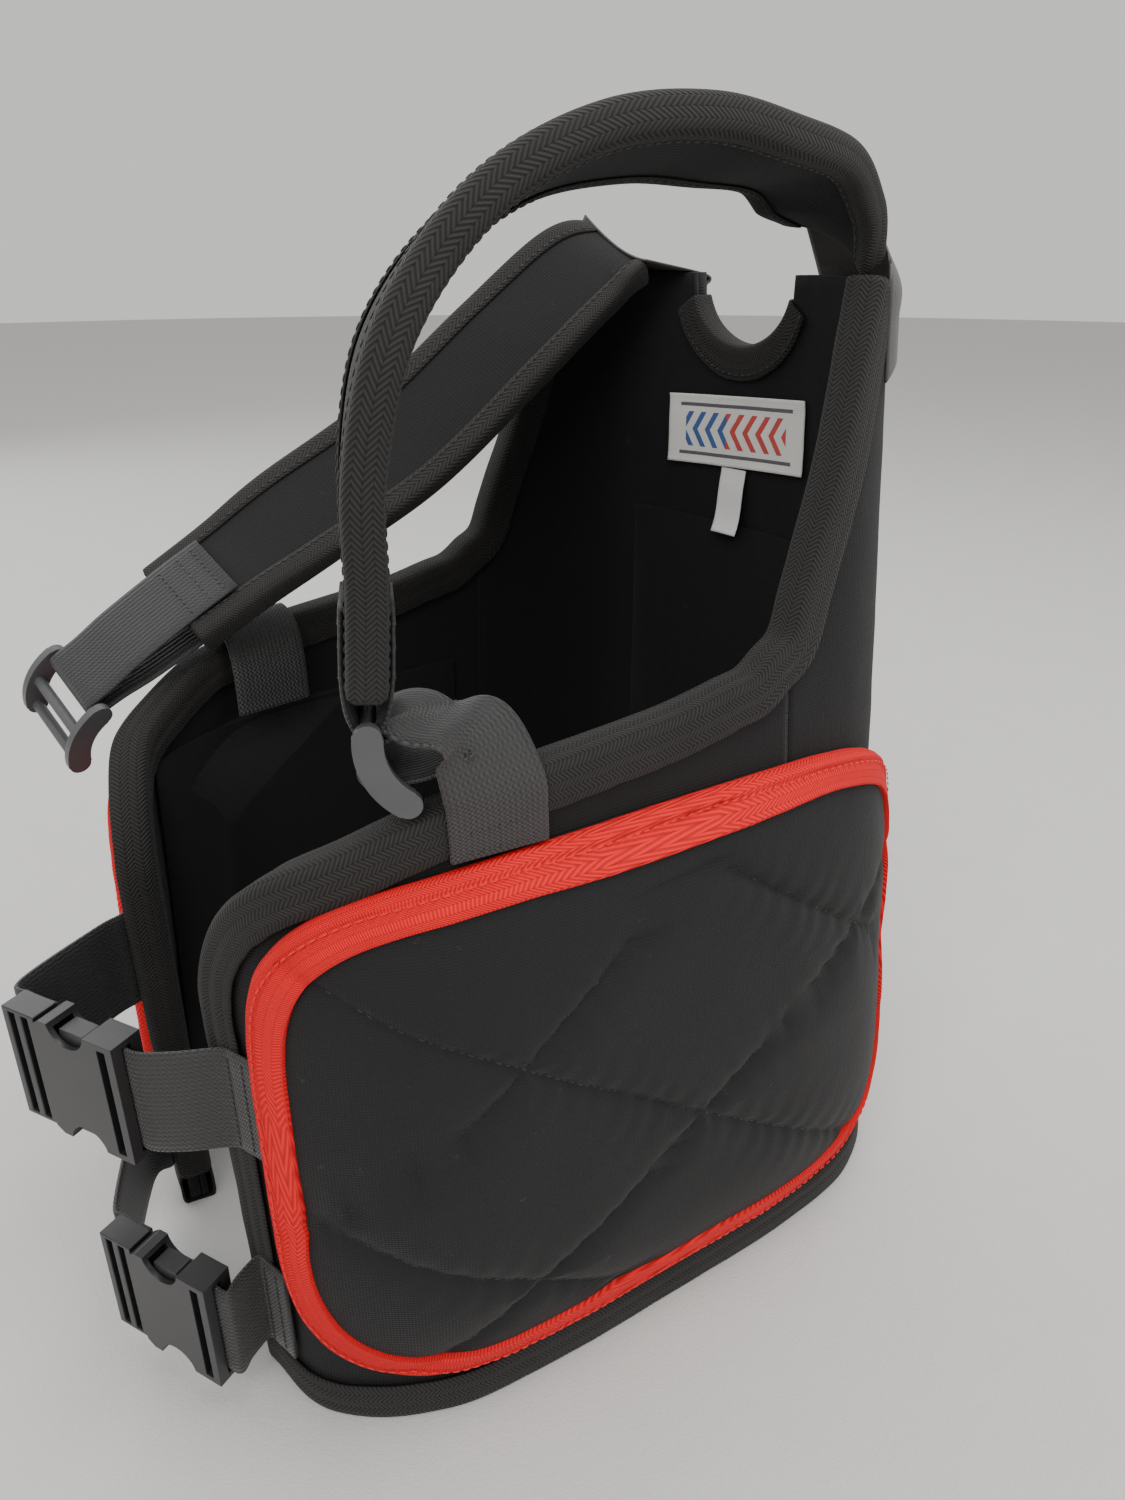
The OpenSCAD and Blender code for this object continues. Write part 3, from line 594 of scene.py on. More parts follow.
def ribPad(label, side):
    def spot(s, t):
        turn = -2 * math.pi * s * side
        share = 0.995 * t ** 0.8 if t > 0.02 else 0.0
        return ribPoint(turn, share)

    def place(s, t):
        if t > 0.98:                                   # the last row tucks under the rim
            a, z = ribPoint(-2 * math.pi * s * side, 0.985)
            return onSide(side, skin(a, z, 1.3))
        a, z = spot(s, t / 0.975)
        return onSide(side, skin(a, z, ribRise(a, z)))

    mesh = mappedGrid((288, 90), place,
                      lambda s, t: tuple(v * mm for v in spot(s, min(1, t / 0.975))), False)
    bmesh.ops.remove_doubles(mesh, verts=mesh.verts, dist=2e-6)
    closeEnds(mesh)
    piece = finishPiece(f"rib_pad_{label}", mesh, quiltKnit, "vest",
                        (f"rib_pad_{label}", f"rib_plate_{label}"))
    return piece


def ribStitches(label, side):
    for j, ((a0, z0), slope) in enumerate(quiltLines):
        run = math.sqrt(1 + slope * slope)
        spots = []
        for i in range(-150, 151):
            a, z = a0 + i * 1.8 / run, z0 + slope * i * 1.8 / run
            if ribShare(a, z) < 0.9:
                spots.append((onSide(side, skin(a, z, ribRise(a, z) + 0.15)), outwardAt(a, side)))
        stitchRow(f"quilt_stitches_{j}_{label}", spots, darkThread, "vest", 3.2, 0.3)


def redTrim(label, side):
    # section of the tape: from the panel, up over the rim and onto the pad
    def flat(turn, inset):
        a, z = ribPoint(turn, 1.0)
        reach = math.hypot(a - ribMid[0], z - ribMid[1])
        return ribPoint(turn, 1 - inset / reach)

    section = [(-1.7, 0.6), (-2.2, 2.0), (-2.0, 4.2), (-0.9, 6.0), (1.2, 7.0), (3.6, 8.6), (6.0, 10.0),
               (8.5, 11.0),
               (ribLook["trim"], 11.4), (ribLook["trim"] + 0.15, 10.2)]
    runs = [0.0]
    for p, q in zip(section, section[1:]):
        runs.append(runs[-1] + math.dist(p, q))

    def place(s, t):
        turn = -2 * math.pi * s * side
        k = min(len(section) - 2, int(t * (len(section) - 1)))
        f = t * (len(section) - 1) - k
        inset = section[k][0] + (section[k + 1][0] - section[k][0]) * f
        rise = section[k][1] + (section[k + 1][1] - section[k][1]) * f
        a, z = flat(turn, inset)
        if inset > 1:
            pad = ribRise(a, z)
            rise = max(rise * 0.25 + (pad + 1.1) * 0.75, pad + 0.7)
            if t > 0.93:
                rise = pad + 0.7 - (t - 0.93) * 18
        wave = 0.25 * noise.noise(Vector((a * 0.12, z * 0.12, 2.0)))
        return onSide(side, skin(a, z, rise + wave))

    perimeter = 0.80
    mesh = mappedGrid((320, 27), place, (perimeter, runs[-1] * mm), side > 0)
    bmesh.ops.remove_doubles(mesh, verts=mesh.verts, dist=2e-6)
    piece = finishPiece(f"rib_tape_{label}", mesh, redTape, "vest", (f"rib_tape_{label}",))
    thicken(piece, 0.7 * mm)
    for inset, kind in ((8.6, "inner"), (1.6, "outer")):
        spots = []
        for i in range(321):
            turn = 2 * math.pi * i / 320
            a, z = flat(turn, inset)
            high = ribRise(a, z) + (1.15 if inset > 5 else 2.4)
            spots.append((onSide(side, skin(a, z, high)), outwardAt(a, side)))
        stitchRow(f"red_stitches_{kind}_{label}", spots, redThread, "vest", 3.4, 0.34)
    return piece


for label, side in sides:
    ribPad(label, side)
    ribStitches(label, side)
    redTrim(label, side)
print("rib pads made")

# ---- inner cushions, blown up by cloth simulation
cushionLook = {"pressure": 4.0, "frames": 18, "limit": 5.0, "rise": 3.4}


def swell(piece, guide, limit):
    # pressure puffs the cushion; a point may move no further than limit
    start = [v.co.copy() for v in piece.data.vertices]
    group = piece.vertex_groups.new(name="held")
    for vert in piece.data.vertices:
        held = guide(vert.co)
        if held > 0:
            group.add([vert.index], held, "REPLACE")
    cloth = piece.modifiers.new("cloth", "CLOTH")
    cloth.settings.use_pressure = True
    cloth.settings.uniform_pressure_force = cushionLook["pressure"]
    cloth.settings.effector_weights.gravity = 0
    cloth.settings.vertex_group_mass = "held"
    cloth.settings.tension_stiffness = 25
    cloth.settings.bending_stiffness = 2
    scene = bpy.context.scene
    for step in range(1, cushionLook["frames"] + 1):
        scene.frame_set(step)
    graph = bpy.context.evaluated_depsgraph_get()
    done = piece.evaluated_get(graph)
    swollen = [v.co.copy() for v in done.data.vertices]
    piece.modifiers.remove(cloth)
    scene.frame_set(1)
    for vert, a, b in zip(piece.data.vertices, start, swollen):
        move = b - a
        if move.length > limit:
            move *= limit / move.length
        vert.co = a + move
    piece.vertex_groups.remove(group)


def innerCushion(name, tRange, zRange, node):
    # closed cushion: a crowned face towards the wearer and a flat back on the lining
    back = -wall - 0.7
    rise = cushionLook["rise"]

    def corner(s, t):
        return tRange[0] + (tRange[1] - tRange[0]) * s, zRange[0] + (zRange[1] - zRange[0]) * t

    def crown(s, t):
        e = min(1.0, 5 * min(s, 1 - s)) * min(1.0, 5 * min(t, 1 - t))
        return math.sqrt(max(0, e))

    def front(s, t):
        return around(*corner(s, t), back - 0.4 - rise * crown(s, t))

    def rear(s, t):
        return around(*corner(s, t), back)

    mesh = mappedGrid((44, 44), front, lambda s, t: tuple(v * mm for v in corner(s, t)), False)
    rearMesh = mappedGrid((44, 44), rear, lambda s, t: tuple(v * mm for v in corner(s, t)), True)
    joined = bpy.data.meshes.new("joined")
    rearMesh.to_mesh(joined)
    rearMesh.free()
    mesh.from_mesh(joined)
    bpy.data.meshes.remove(joined)
    rims = [e for e in mesh.edges if e.is_boundary]
    bmesh.ops.bridge_loops(mesh, edges=rims)
    bmesh.ops.recalc_face_normals(mesh, faces=mesh.faces)
    piece = finishPiece(name, mesh, plush, "vest", (node,))
    def held(co):
        low, high = zRange[0] * mm, zRange[1] * mm
        near = min(co.z - low, high - co.z)
        return 1.0 if near < 3 * mm else 0.0
    swell(piece, held, cushionLook["limit"] * mm * 0.4)
    soften(piece)
    return piece


innerCushion("back_pad", (68, -68), (30, 248), "back_pad")
innerCushion("inner_pad_left", (girth - 34, girth - 198), (26, 184), "inner_pad_left")
innerCushion("inner_pad_right", (-(girth - 198), -(girth - 34)), (26, 184), "inner_pad_right")
print("cushions made")

# ---- bindings: herringbone tape folded over the raw edges
bindLook = {"thick": 0.9, "wobble": 0.25}


def foldSection(wide, front, back):
    # (reach over the face, rise) from the outer edge of the tape round to its inner edge
    return [(wide, front - 0.5), (wide - 0.4, front), (wide * 0.5, front + 0.12), (2.0, front + 0.1),
            (0.2, front - 0.2), (-0.8, front - 1.4), (-1.1, (front + back) / 2), (-0.8, back + 1.4),
            (0.2, back + 0.2), (2.0, back - 0.1), (wide * 0.5, back - 0.12), (wide - 0.4, back),
            (wide, back + 0.5)]


def binding(name, path, toSpace, nodes, turned, length, steps):
    # path(s) gives (edge place, direction) in pattern space; the cloth is on its right
    section = foldSection(cut["tapeWide"], cut["gap"] + cut["tape"], -wall - cut["gap"] - cut["tape"])
    runs = [0.0]
    for p, q in zip(section, section[1:]):
        runs.append(runs[-1] + math.dist(p, q))

    def place(s, t):
        (p, d) = path(s)
        e = Vector((d.y, -d.x, 0)).normalized()
        k = min(len(section) - 2, int(t * (len(section) - 1)))
        f = t * (len(section) - 1) - k
        w = section[k][0] + (section[k + 1][0] - section[k][0]) * f
        n = section[k][1] + (section[k + 1][1] - section[k][1]) * f
        w += bindLook["wobble"] * noise.noise(Vector((s * length * 0.12, 0.3, t))) * (w > 5) * 2
        n += 0.18 * noise.noise(Vector((s * length * 0.07, t * 3, 9.0)))
        spot = p + e * w
        return toSpace(spot.x, spot.y, n)

    def size(s, t):
        k = min(len(section) - 2, int(t * (len(section) - 1)))
        f = t * (len(section) - 1) - k
        return s * length * mm, (runs[k] + (runs[k + 1] - runs[k]) * f) * mm

    mesh = mappedGrid((steps, 24), place, size, turned)
    piece = finishPiece(name, mesh, darkTape, "vest", nodes)
    thicken(piece, bindLook["thick"] * mm)
    for n, kind, sign in ((section[1][1] + 0.1, "outer", 1), (section[-2][1] - 0.1, "inner", -1)):
        spots = []
        count = max(40, int(length / 6))
        for i in range(count + 1):
            p, d = path(0.004 + 0.992 * i / count)
            e = Vector((d.y, -d.x, 0)).normalized()
            spot = p + e * (cut["tapeWide"] - 2.2)
            low, high = toSpace(spot.x, spot.y, n), toSpace(spot.x, spot.y, n + sign)
            spots.append((low, (high - low).normalized()))
        stitchRow(f"{name}_stitches_{kind}", spots, darkThread, "vest", 3.2, 0.3)
    return piece


def pathThrough(points):
    knots = [Vector((*p, 0)) for p in points]
    runs = [0.0]
    for p, q in zip(knots, knots[1:]):
        runs.append(runs[-1] + (q - p).length)

    def at(s):
        goal = min(max(s, 0), 1) * runs[-1]
        k = 0
        while k < len(runs) - 2 and runs[k + 1] < goal:
            k += 1
        u = k + (goal - runs[k]) / (runs[k + 1] - runs[k])
        step = 0.02
        a, b = along(knots, max(0, u - step)), along(knots, min(len(knots) - 1, u + step))
        return along(knots, u), (b - a).normalized()
    return at, runs[-1]


tape = cut["tape"]
frontPoints = [(tape, 15.2 + (cut["sideHigh"] * 0.84 - cut["corner"] - 16) * i / 5) for i in range(6)]
for i in range(1, 7):
    a = cut["corner"] * (1 - math.cos(math.radians(i * 15)))
    frontPoints.append((a + tape * (1 - a / cut["corner"]), sideTop(a)))
frontPoints += [(a, sideTop(a)) for a in (50, 62, 75, 90, 110, 135, 165, 187, 198, 207)]
frontPoints += [tuple(along(armEdge, i / 2))[:2] for i in range(9)]
frontPath, frontLong = pathThrough(frontPoints)
for label, side in sides:
    binding(f"arm_binding_{label}", frontPath,
            lambda a, z, n, side=side: onSide(side, skin(max(a, 0), z, n)),
            (f"arm_binding_{label}",), side > 0, frontLong, 220)
hemPath = lambda s: (Vector(((girth - 1.2) * (1 - 2 * s), 0, 0)) + Vector((0, tape, 0)), Vector((-1, 0, 0)))
binding("hem_binding", hemPath, around, ("hem_binding",), False, 2 * (girth - 1.2), 330)
neckPoints = []
for k in range(21):
    q = math.pi * k / 20
    t = (cut["neckHalf"] - 2) * math.cos(q)
    neckPoints.append((-t, backTop(t)))
neckPath, neckLong = pathThrough(neckPoints)
binding("neck_binding", neckPath, lambda x, z, n: around(-x, z, n), ("neck_binding",), False, neckLong, 70)
print("bindings made")

# ---- shoulder straps
strapLook = {"wide": 45.0, "thick": 8.0, "tapeWide": 9.0, "bow": 8.0}


def seamMid(side):
    a = around(side * (cut["seamHalf"] - 4), cut["shoulder"], -wall / 2) / mm
    b = around(side * (cut["neckHalf"] + 2), cut["shoulder"], -wall / 2) / mm
    return (a + b) / 2 + Vector((0, 0, 1.6)), side * (a - b)


leftSeam, rightSeam = seamMid(1), seamMid(-1)
leftRoute = [(leftSeam[0] + Vector((1, -5, 7.5)), leftSeam[1])] + [(Vector(c), Vector(w)) for c, w in (
    ((54.5, -43, 360.5), (0.99, -0.07, 0.06)), ((57, -57, 370), (0.99, 0.01, 0.07)),
    ((61.5, -84, 373), (0.98, 0.05, 0.15)), ((61, -113, 375), (0.97, 0, 0.24)),
    ((61, -148, 370), (0.96, -0.05, 0.28)), ((61, -178, 355), (0.94, -0.2, 0.28)),
    ((61, -200, 331), (0.92, -0.35, 0.15)), ((61, -209, 302), (0.9, -0.43, 0.03)),
    ((61, -210, 274), (0.89, -0.46, 0)), ((61, -212, 247), (0.88, -0.47, 0)))]
rightRoute = [(rightSeam[0] + Vector((-1, -5, 6)), rightSeam[1])] + [(Vector(c), Vector(w)) for c, w in (
    ((-57, -50, 340), (0.84, 0.36, -0.4)), ((-62, -82, 315), (0.76, 0.24, -0.6)),
    ((-66, -126, 282), (0.76, 0.27, -0.6)), ((-72, -169, 258.5), (0.82, 0.19, -0.54)),
    ((-75, -192, 245), (0.88, 0.06, -0.45)), ((-78, -216, 231), (0.9, 0.02, -0.42)))]


def station(route, u):
    # centre, across, outward and forward at u along a route, in millimetres
    centres = [c for c, _ in route]
    sideways = [w.normalized() for _, w in route]
    last = len(route) - 1
    t = (along(centres, min(u + 0.05, last)) - along(centres, max(u - 0.05, 0))).normalized()
    a = along(sideways, u)
    x = (a - t * a.dot(t)).normalized()
    return along(centres, u), x, t.cross(x), t


def routeLength(route):
    spots = [along([c for c, _ in route], i / 20) for i in range(20 * (len(route) - 1) + 1)]
    return sum((b - a).length for a, b in zip(spots, spots[1:]))


def sweep(name, route, section, steps, material, body, nodes=(), start=0.0, bow=0.0):
    # section: closed list of (across, outward) in millimetres
    last = len(route) - 1
    ring = section + section[:1]
    runs = [0.0]
    for p, q in zip(ring, ring[1:]):
        runs.append(runs[-1] + math.dist(p, q))
    long = routeLength(route)
    lift = Vector((0, 0, 1)).cross(route[0][1].normalized())

    def place(s, t):
        u = start + (last - start) * s
        c, x, n, _ = station(route, u)
        k = min(len(ring) - 2, int(t * (len(ring) - 1) + 1e-6))
        f = t * (len(ring) - 1) - k
        w = ring[k][0] + (ring[k + 1][0] - ring[k][0]) * f
        h = ring[k][1] + (ring[k + 1][1] - ring[k][1]) * f
        b = bow * max(0, 1 - u / 2) * (1 - (2 * w / strapLook["wide"]) ** 2) * lift.dot(n)
        return (c + x * w + n * (h + b)) * mm

    def size(s, t):
        k = min(len(ring) - 1, int(round(t * (len(ring) - 1))))
        return s * long * mm, runs[k] * mm

    mesh = mappedGrid((steps, len(section)), place, size, False)
    bmesh.ops.remove_doubles(mesh, verts=mesh.verts, dist=2e-6)
    return finishPiece(name, closeEnds(mesh), material, body, nodes)


def padSection(wide, thick):
    h, w = thick / 2, wide / 2 - 1.7
    run = [(i / 10, math.sin(math.pi * i / 10)) for i in range(1, 10)]
    upper = [(-w + 2 + (2 * w - 4) * share, h + 0.9 * swell) for share, swell in run]
    lower = [(w - 2 - (2 * w - 4) * share, -h - 0.7 * swell) for share, swell in run]
    return ([(-w, -h + 1), (-w, h - 1), (-w + 2, h)] + upper
            + [(w - 2, h), (w, h - 1), (w, -h + 1), (w - 2, -h)] + lower + [(-w + 2, -h)])


def tapeSection(edge):
    # folded tape at one edge of a strap; edge is 1 or -1
    e = edge * (strapLook["wide"] / 2)
    i = e - edge * strapLook["tapeWide"]
    h = strapLook["thick"] / 2 + 0.5
    outer = [(i, h + 0.1), (i + edge * 0.5, h + 0.9), (e - edge * 3, h + 0.8), (e - edge * 1, h + 0.1),
             (e - edge * 0.15, h - 1.6), (e, 0), (e - edge * 0.15, -h + 1.6), (e - edge * 1, -h - 0.1),
             (e - edge * 3, -h - 0.8), (i + edge * 0.5, -h - 0.9), (i, -h - 0.1)]
    inner = [(e - edge * 1.3, -h + 0.6), (e - edge * 1.3, h - 0.6)]
    return outer + inner


def webSection(wide, thick=1.5, cells=8):
    w, h = wide / 2, thick / 2
    top = [(-w + 0.5 + (wide - 1) * i / cells, h) for i in range(cells + 1)]
    under = [(x, -h) for x, _ in reversed(top)]
    return [(-w, -h * 0.45), (-w, h * 0.45)] + top + [(w, h * 0.45), (w, -h * 0.45)] + under


def strapStitches(name, route, across, rise, body, start, bow):
    spots = []
    last = len(route) - 1
    lift = Vector((0, 0, 1)).cross(route[0][1].normalized())
    for i in range(121):
        u = start + (last - start) * (0.005 + 0.99 * i / 120)
        c, x, n, _ = station(route, u)
        b = bow * max(0, 1 - u / 2) * (1 - (2 * across / strapLook["wide"]) ** 2) * lift.dot(n)
        spots.append(((c + x * across + n * (rise + b)) * mm, n * math.copysign(1, rise)))
    stitchRow(name, spots, darkThread, body, 3.2, 0.3)


for label, side, route in (("left", 1, leftRoute), ("right", -1, rightRoute)):
    body = f"strap_{label}"
    section = padSection(strapLook["wide"], strapLook["thick"])
    pad = sweep(f"strap_pad_{label}", route, section, 110, knit, body,
                (f"strap_pad_{label}",), 0.02, strapLook["bow"])
    for edge, kind in ((side, "outer"), (-side, "neck")):
        name = f"strap_{kind}_binding_{label}"
        soften(sweep(name, route, tapeSection(edge), 120, darkTape, body, (name,), 0.04,
                     strapLook["bow"]))
        inner = edge * (strapLook["wide"] / 2 - strapLook["tapeWide"] + 2)
        for rise, face in ((5.5, "top"), (-5.5, "under")):
            strapStitches(f"{name}_stitches_{face}", route, inner, rise, body, 0.1, strapLook["bow"])
print("straps made")

# ---- ladder locks and the webbing through them
lockLook = {"reach": {"left": 10.0, "right": 42.0}, "bar": 2.0, "arc": 20.0, "turn": 32.0, "lap": 22.0}


def loopFrame(route, reach, down):
    c, x, _, t = station(route, len(route) - 1)
    d = (down - x * down.dot(x)).normalized()
    return c + t * reach, x, d.cross(x), d


leftLock = loopFrame(leftRoute, lockLook["reach"]["left"], Vector((0.15, 0.4, -0.89)))


def lockBar(k):
    r, q = lockLook["arc"], math.radians(lockLook["turn"])
    return r * (math.cos(q * (k - 1)) - math.cos(q)), r * (math.sin(q * (k - 1)) + math.sin(q))


def inLock(lock, out, down):
    return lock[0] + lock[2] * out + lock[3] * down


def levelRoute(points, across):
    return [(Vector(p), Vector(across)) for p in points]


def strapLoop(label, route, reach):
    # webbing up one face of the pad, round the top bar and down the other face
    c, x, n, t = station(route, len(route) - 1)
    bar = c + t * reach
    r = lockLook["bar"] + 0.85
    h = strapLook["thick"] / 2 + 2.3
    points = [bar - t * (reach + lockLook["lap"]) + n * h, bar - t * (reach + 18) + n * h,
              bar - t * (reach + 5) + n * h,
              bar - t * reach * 0.55 + n * (h * 0.5 + r * 0.5 + 0.6)]
    if reach > 20:
        points.append(bar - t * 10 + n * (r + 0.6))
    for q in (0, 45, 90, 135, 180):
        a = math.radians(q)
        points.append(bar + n * r * math.cos(a) + t * r * math.sin(a))
    if reach > 20:
        points.append(bar - t * 10 - n * (r + 0.6))
    points += [bar - t * reach * 0.55 - n * (h * 0.5 + r * 0.5 + 0.6), bar - t * (reach + 5) - n * h,
               bar - t * (reach + 18) - n * h, bar - t * (reach + lockLook["lap"]) - n * h]
    loop = levelRoute(points, x)
    name = f"strap_webbing_{label}"
    sweep(name, loop, webSection(30, 1.3), 130, strapWeb, f"strap_{label}", (name,))
    for sign, face in ((1, "top"), (-1, "under")):
        for j, row in enumerate((4, 12, lockLook["lap"] - 4)):
            middle = bar - t * (reach + row) + n * sign * (h + 0.75)
            spots = [((middle + x * w) * mm, n * sign) for w in range(-13, 14, 2)]
            stitchRow(f"{name}_stitches_{face}_{j}", spots, darkThread, f"strap_{label}", 2.6,
                      0.36, skew=0.25)


def roundedCopy(node, material, body, width, segments=3):
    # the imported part's own shape with its sharp edges rounded over
    mesh = bmesh.new()
    mesh.from_mesh(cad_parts[node].data)
    bmesh.ops.remove_doubles(mesh, verts=mesh.verts, dist=1e-6)
    bmesh.ops.dissolve_limit(mesh, angle_limit=math.radians(1.5), verts=mesh.verts, edges=mesh.edges)
    sharp = [e for e in mesh.edges if len(e.link_faces) == 2 and e.calc_face_angle(0) > math.radians(32)]
    bmesh.ops.bevel(mesh, geom=sharp, offset=width * mm, offset_type="OFFSET", affect="EDGES",
                    segments=segments, profile=0.5, material=-1, clamp_overlap=True)
    piece = finishPiece(f"{node}_shape", mesh, material, body, (node,))
    made = piece.modifiers.new("facets", "WEIGHTED_NORMAL")
    made.keep_sharp = False
    return piece


strapLoop("left", leftRoute, lockLook["reach"]["left"])
strapLoop("right", rightRoute, lockLook["reach"]["right"])
for label in ("left", "right"):
    roundedCopy(f"ladder_lock_{label}", lockShell, f"lock_{label}", 0.5)

tabA = 98.0


def tabBase(z, extra=0.0):
    return skin(tabA, z, cut["gap"] + cut["tape"] + 1.25 + extra) / mm


tabAcross = (skin(tabA + 10, 190, 0) - skin(tabA - 10, 190, 0)).normalized()
w = -leftLock[1]
bx, by = lockBar(1)
tabLow, tabHigh = tabBase(199.6), tabBase(208)
leftTab = [(tabLow, tabAcross), (tabHigh, tabAcross), (tabBase(219) + Vector((0, -1, 0)), tabAcross),
           (Vector((82, -194, 234)), Vector((-0.15, 0.98, 0))),
           (Vector((74, -201, 236)), Vector((-0.5, 0.85, 0)))]
leftTab += [(inLock(leftLock, *p), w) for p in (
    (-9, 4.5), (bx - 4, by - 6.2), (bx + 2, by - 5), (bx + 4.6, by), (bx + 2, by + 5),
    (bx - 4, by + 6), (bx - 12, by + 8), (bx - 24, by + 8))]
tab = sweep("tab_webbing_left", leftTab, webSection(30), 150, webbing, None,
            ("tab_webbing_left",))
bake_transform(tab)
inside = -wall - cut["gap"] - tape - 2.5
rightTab = [(tabLow, tabAcross), (tabHigh, tabAcross),
            (skin(tabA, sideTop(tabA) + 2, 2.85) / mm, tabAcross),
            (skin(tabA, sideTop(tabA) + 8, -wall / 2) / mm, tabAcross),
            (skin(tabA, sideTop(tabA) + 2, inside - 1) / mm, tabAcross),
            (skin(tabA, 207, inside - 5) / mm, tabAcross), (skin(tabA, 190, inside - 7) / mm, tabAcross)]
rightTab = [(onSide(-1, p), Vector((-a.x, a.y, a.z))) for p, a in rightTab]
sweep("tab_webbing_right", rightTab, webSection(30), 90, webbing, "vest", ("tab_webbing_right",))
for label, side in sides:
    for j, z in enumerate((201.5, 207.5)):
        spots = []
        for dw in range(-13, 14, 2):
            a = tabA + dw
            spots.append((onSide(side, skin(a, z, cut["gap"] + cut["tape"] + 2.1)), outwardAt(a, side)))
        stitchRow(f"tab_stitches_{label}_{j}", spots, darkThread, "vest", 2.6, 0.36, skew=0.3)
print("locks and tabs made")

# ---- side-release buckles and their webbing
buckleLook = {"upper": {"at": (28, -282, 119), "turn": 206}, "lower": {"at": (50, -275, 36), "turn": 204}}
maleStart, maleLong = 33.4, 14.0


def buckleSpot(which, x, y, z=0.0):
    look = buckleLook[which]
    q = math.radians(look["turn"])
    o = look["at"]
    return Vector((o[0] + x * math.cos(q) - y * math.sin(q),
                   o[1] + x * math.sin(q) + y * math.cos(q), o[2] + z))


def panelSpot(which, a, side, lift=0.0):
    spot = skin(a, buckleLook[which]["at"][2], cut["gap"] + tape + 1.25 + lift) / mm
    return onSide(side, spot)


def crossStitch(name, spots, body):
    stitchRow(name, spots, darkThread, body, 2.2, 0.4, skew=0.5)


for which in ("upper", "lower"):
    roundedCopy(f"buckle_female_{which}", buckleShell, "vest", 1.1, 3)
    roundedCopy(f"buckle_male_{which}", buckleShell, f"male_{which}", 0.5, 2)
    for end in ("top", "bottom"):
        roundedCopy(f"squeeze_arm_{which}_{end}", buckleShell, f"arm_{which}_{end}", 0.5, 2)
    female = [panelSpot(which, 21, 1), panelSpot(which, 14, 1), panelSpot(which, 8, 1, 1),
              (panelSpot(which, 4, 1, 4) + buckleSpot(which, -7, 0)) / 2, buckleSpot(which, -4, 0),
              buckleSpot(which, 2.6, 0)]
    name = f"female_webbing_{which}"
    sweep(name, levelRoute(female, (0, 0, 1)), webSection(38), 60, webbing, "vest", (name,))
    y = -5.75
    x = maleStart
    male = [panelSpot(which, 21, -1), panelSpot(which, 14, -1), panelSpot(which, 8, -1, 1),
            panelSpot(which, 2, -1, 9), buckleSpot(which, x + maleLong + 8, y - 3),
            buckleSpot(which, x + maleLong, y), buckleSpot(which, x + 2, y)]
    name = f"male_webbing_{which}"
    strip = sweep(name, levelRoute(male, (0, 0, 1)), webSection(38), 90, webbing, None, (name,))
    a, b = panelSpot(which, 6, -1, 2) * mm, buckleSpot(which, x + maleLong + 2, y) * mm
    tuple(a)
    tuple(b)
    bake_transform(strip)
    for side, label in ((1, "female"), (-1, "male")):
        for j, a in enumerate((11.5, 17)):
            seam = panelSpot(which, a, side, 0.85 + (0.6 if a < 12 else 0)) * mm
            spots = [(seam + Vector((0, 0, dz * mm)), outwardAt(a, side)) for dz in range(-17, 18, 2)]
            crossStitch(f"{label}_stitches_{which}_{j}", spots, "vest")
print("buckles made")

# ---- shoulder patches, label and tag
patchLook = {"high": 30.0, "thick": 0.8}


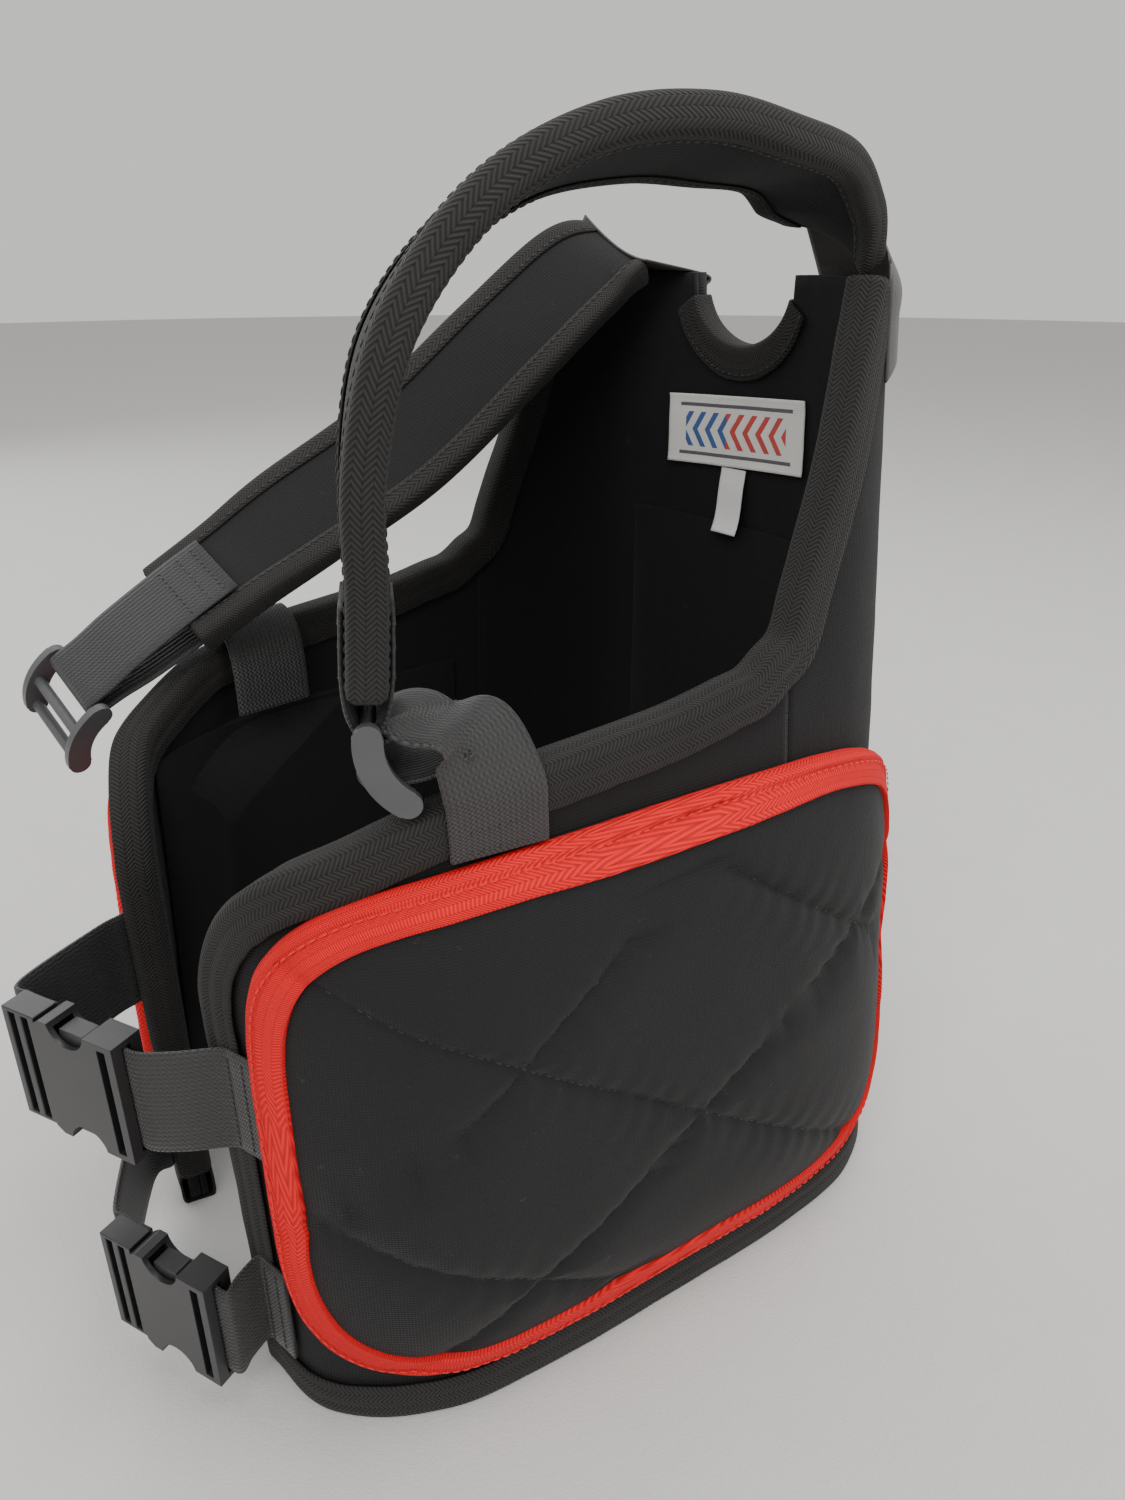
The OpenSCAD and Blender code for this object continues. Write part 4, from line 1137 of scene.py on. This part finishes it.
def shoulderPatch(label, side, route):
    # runs up the back panel, over the seam and onto the strap
    lift = Vector((0, 0, 1)).cross(route[0][1].normalized())

    def strapSpot(share, u, rise):
        c, x, n, _ = station(route, u)
        wide = side * (share - 0.5) * (strapLook["wide"] + 1.5)
        b = strapLook["bow"] * max(0, 1 - u / 2) * (1 - (2 * wide / strapLook["wide"]) ** 2) * lift.dot(n)
        return c + x * wide + n * (rise + b)

    def place(s, t):
        share = s
        x = side * (cut["neckHalf"] + 3 + (cut["seamHalf"] - cut["neckHalf"] - 6) * share)
        low = cut["shoulder"] - patchLook["high"] * (0.35 + 0.65 * share ** 1.5)
        knots = [around(x, low, 1.9) / mm, around(x, (low + cut["shoulder"]) / 2, 1.9) / mm,
                 around(x, cut["shoulder"] - 2, 2.0) / mm, strapSpot(share, 0.08, 5.3)]
        return along(knots, t * 3) * mm

    mesh = mappedGrid((36, 40), place, (0.05, 0.06), side > 0)
    name = f"shoulder_patch_{label}"
    piece = finishPiece(name, mesh, patchCloth, None, (name,))
    thicken(piece, patchLook["thick"] * mm, False)
    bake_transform(piece)
    return piece


shoulderPatch("left", 1, leftRoute)
shoulderPatch("right", -1, rightRoute)

labelLook = {"z": 284.0, "wide": 92.0, "high": 27.0}


def labelSpot(s, t):
    x = -(s - 0.5) * labelLook["wide"]
    z = labelLook["z"] + (t - 0.5) * labelLook["high"] + 0.04 * x
    lift = 0.5 * math.exp(-min(t, 1 - t) * 18) + 0.3 * noise.noise(Vector((x * 0.08, z * 0.1, 0)))
    return around(x, z, -wall - 0.9 - lift)


mesh = mappedGrid((70, 26), labelSpot, lambda s, t: ((s - 0.5) * labelLook["wide"] * mm,
                                                     (t - 0.5) * labelLook["high"] * mm), True)
patch = finishPiece("label_patch", mesh, labelCloth, "vest", ("label_patch",))
thicken(patch, 0.5 * mm, False)


def tagSpot(s, t):
    x = 8 - 16 * s
    z = labelLook["z"] - 14 - 25 * t
    return around(x, z, -wall - 1.2 - 6 * t * t - 0.8 * math.sin(t * 5))


mesh = mappedGrid((16, 26), tagSpot, (0.016, 0.025), False)
tag = finishPiece("care_tag", mesh, tagCloth, "vest", ("care_tag",))
thicken(tag, 0.35 * mm)
print("label made")

# ---- floor
mesh = bmesh.new()
bmesh.ops.create_circle(mesh, cap_ends=True, segments=96, radius=6)
data = bpy.data.meshes.new("floor")
mesh.to_mesh(data)
mesh.free()
floor = bpy.data.objects.new("floor", data)
data.materials.append(floorPaint)
bpy.context.scene.collection.objects.link(floor)
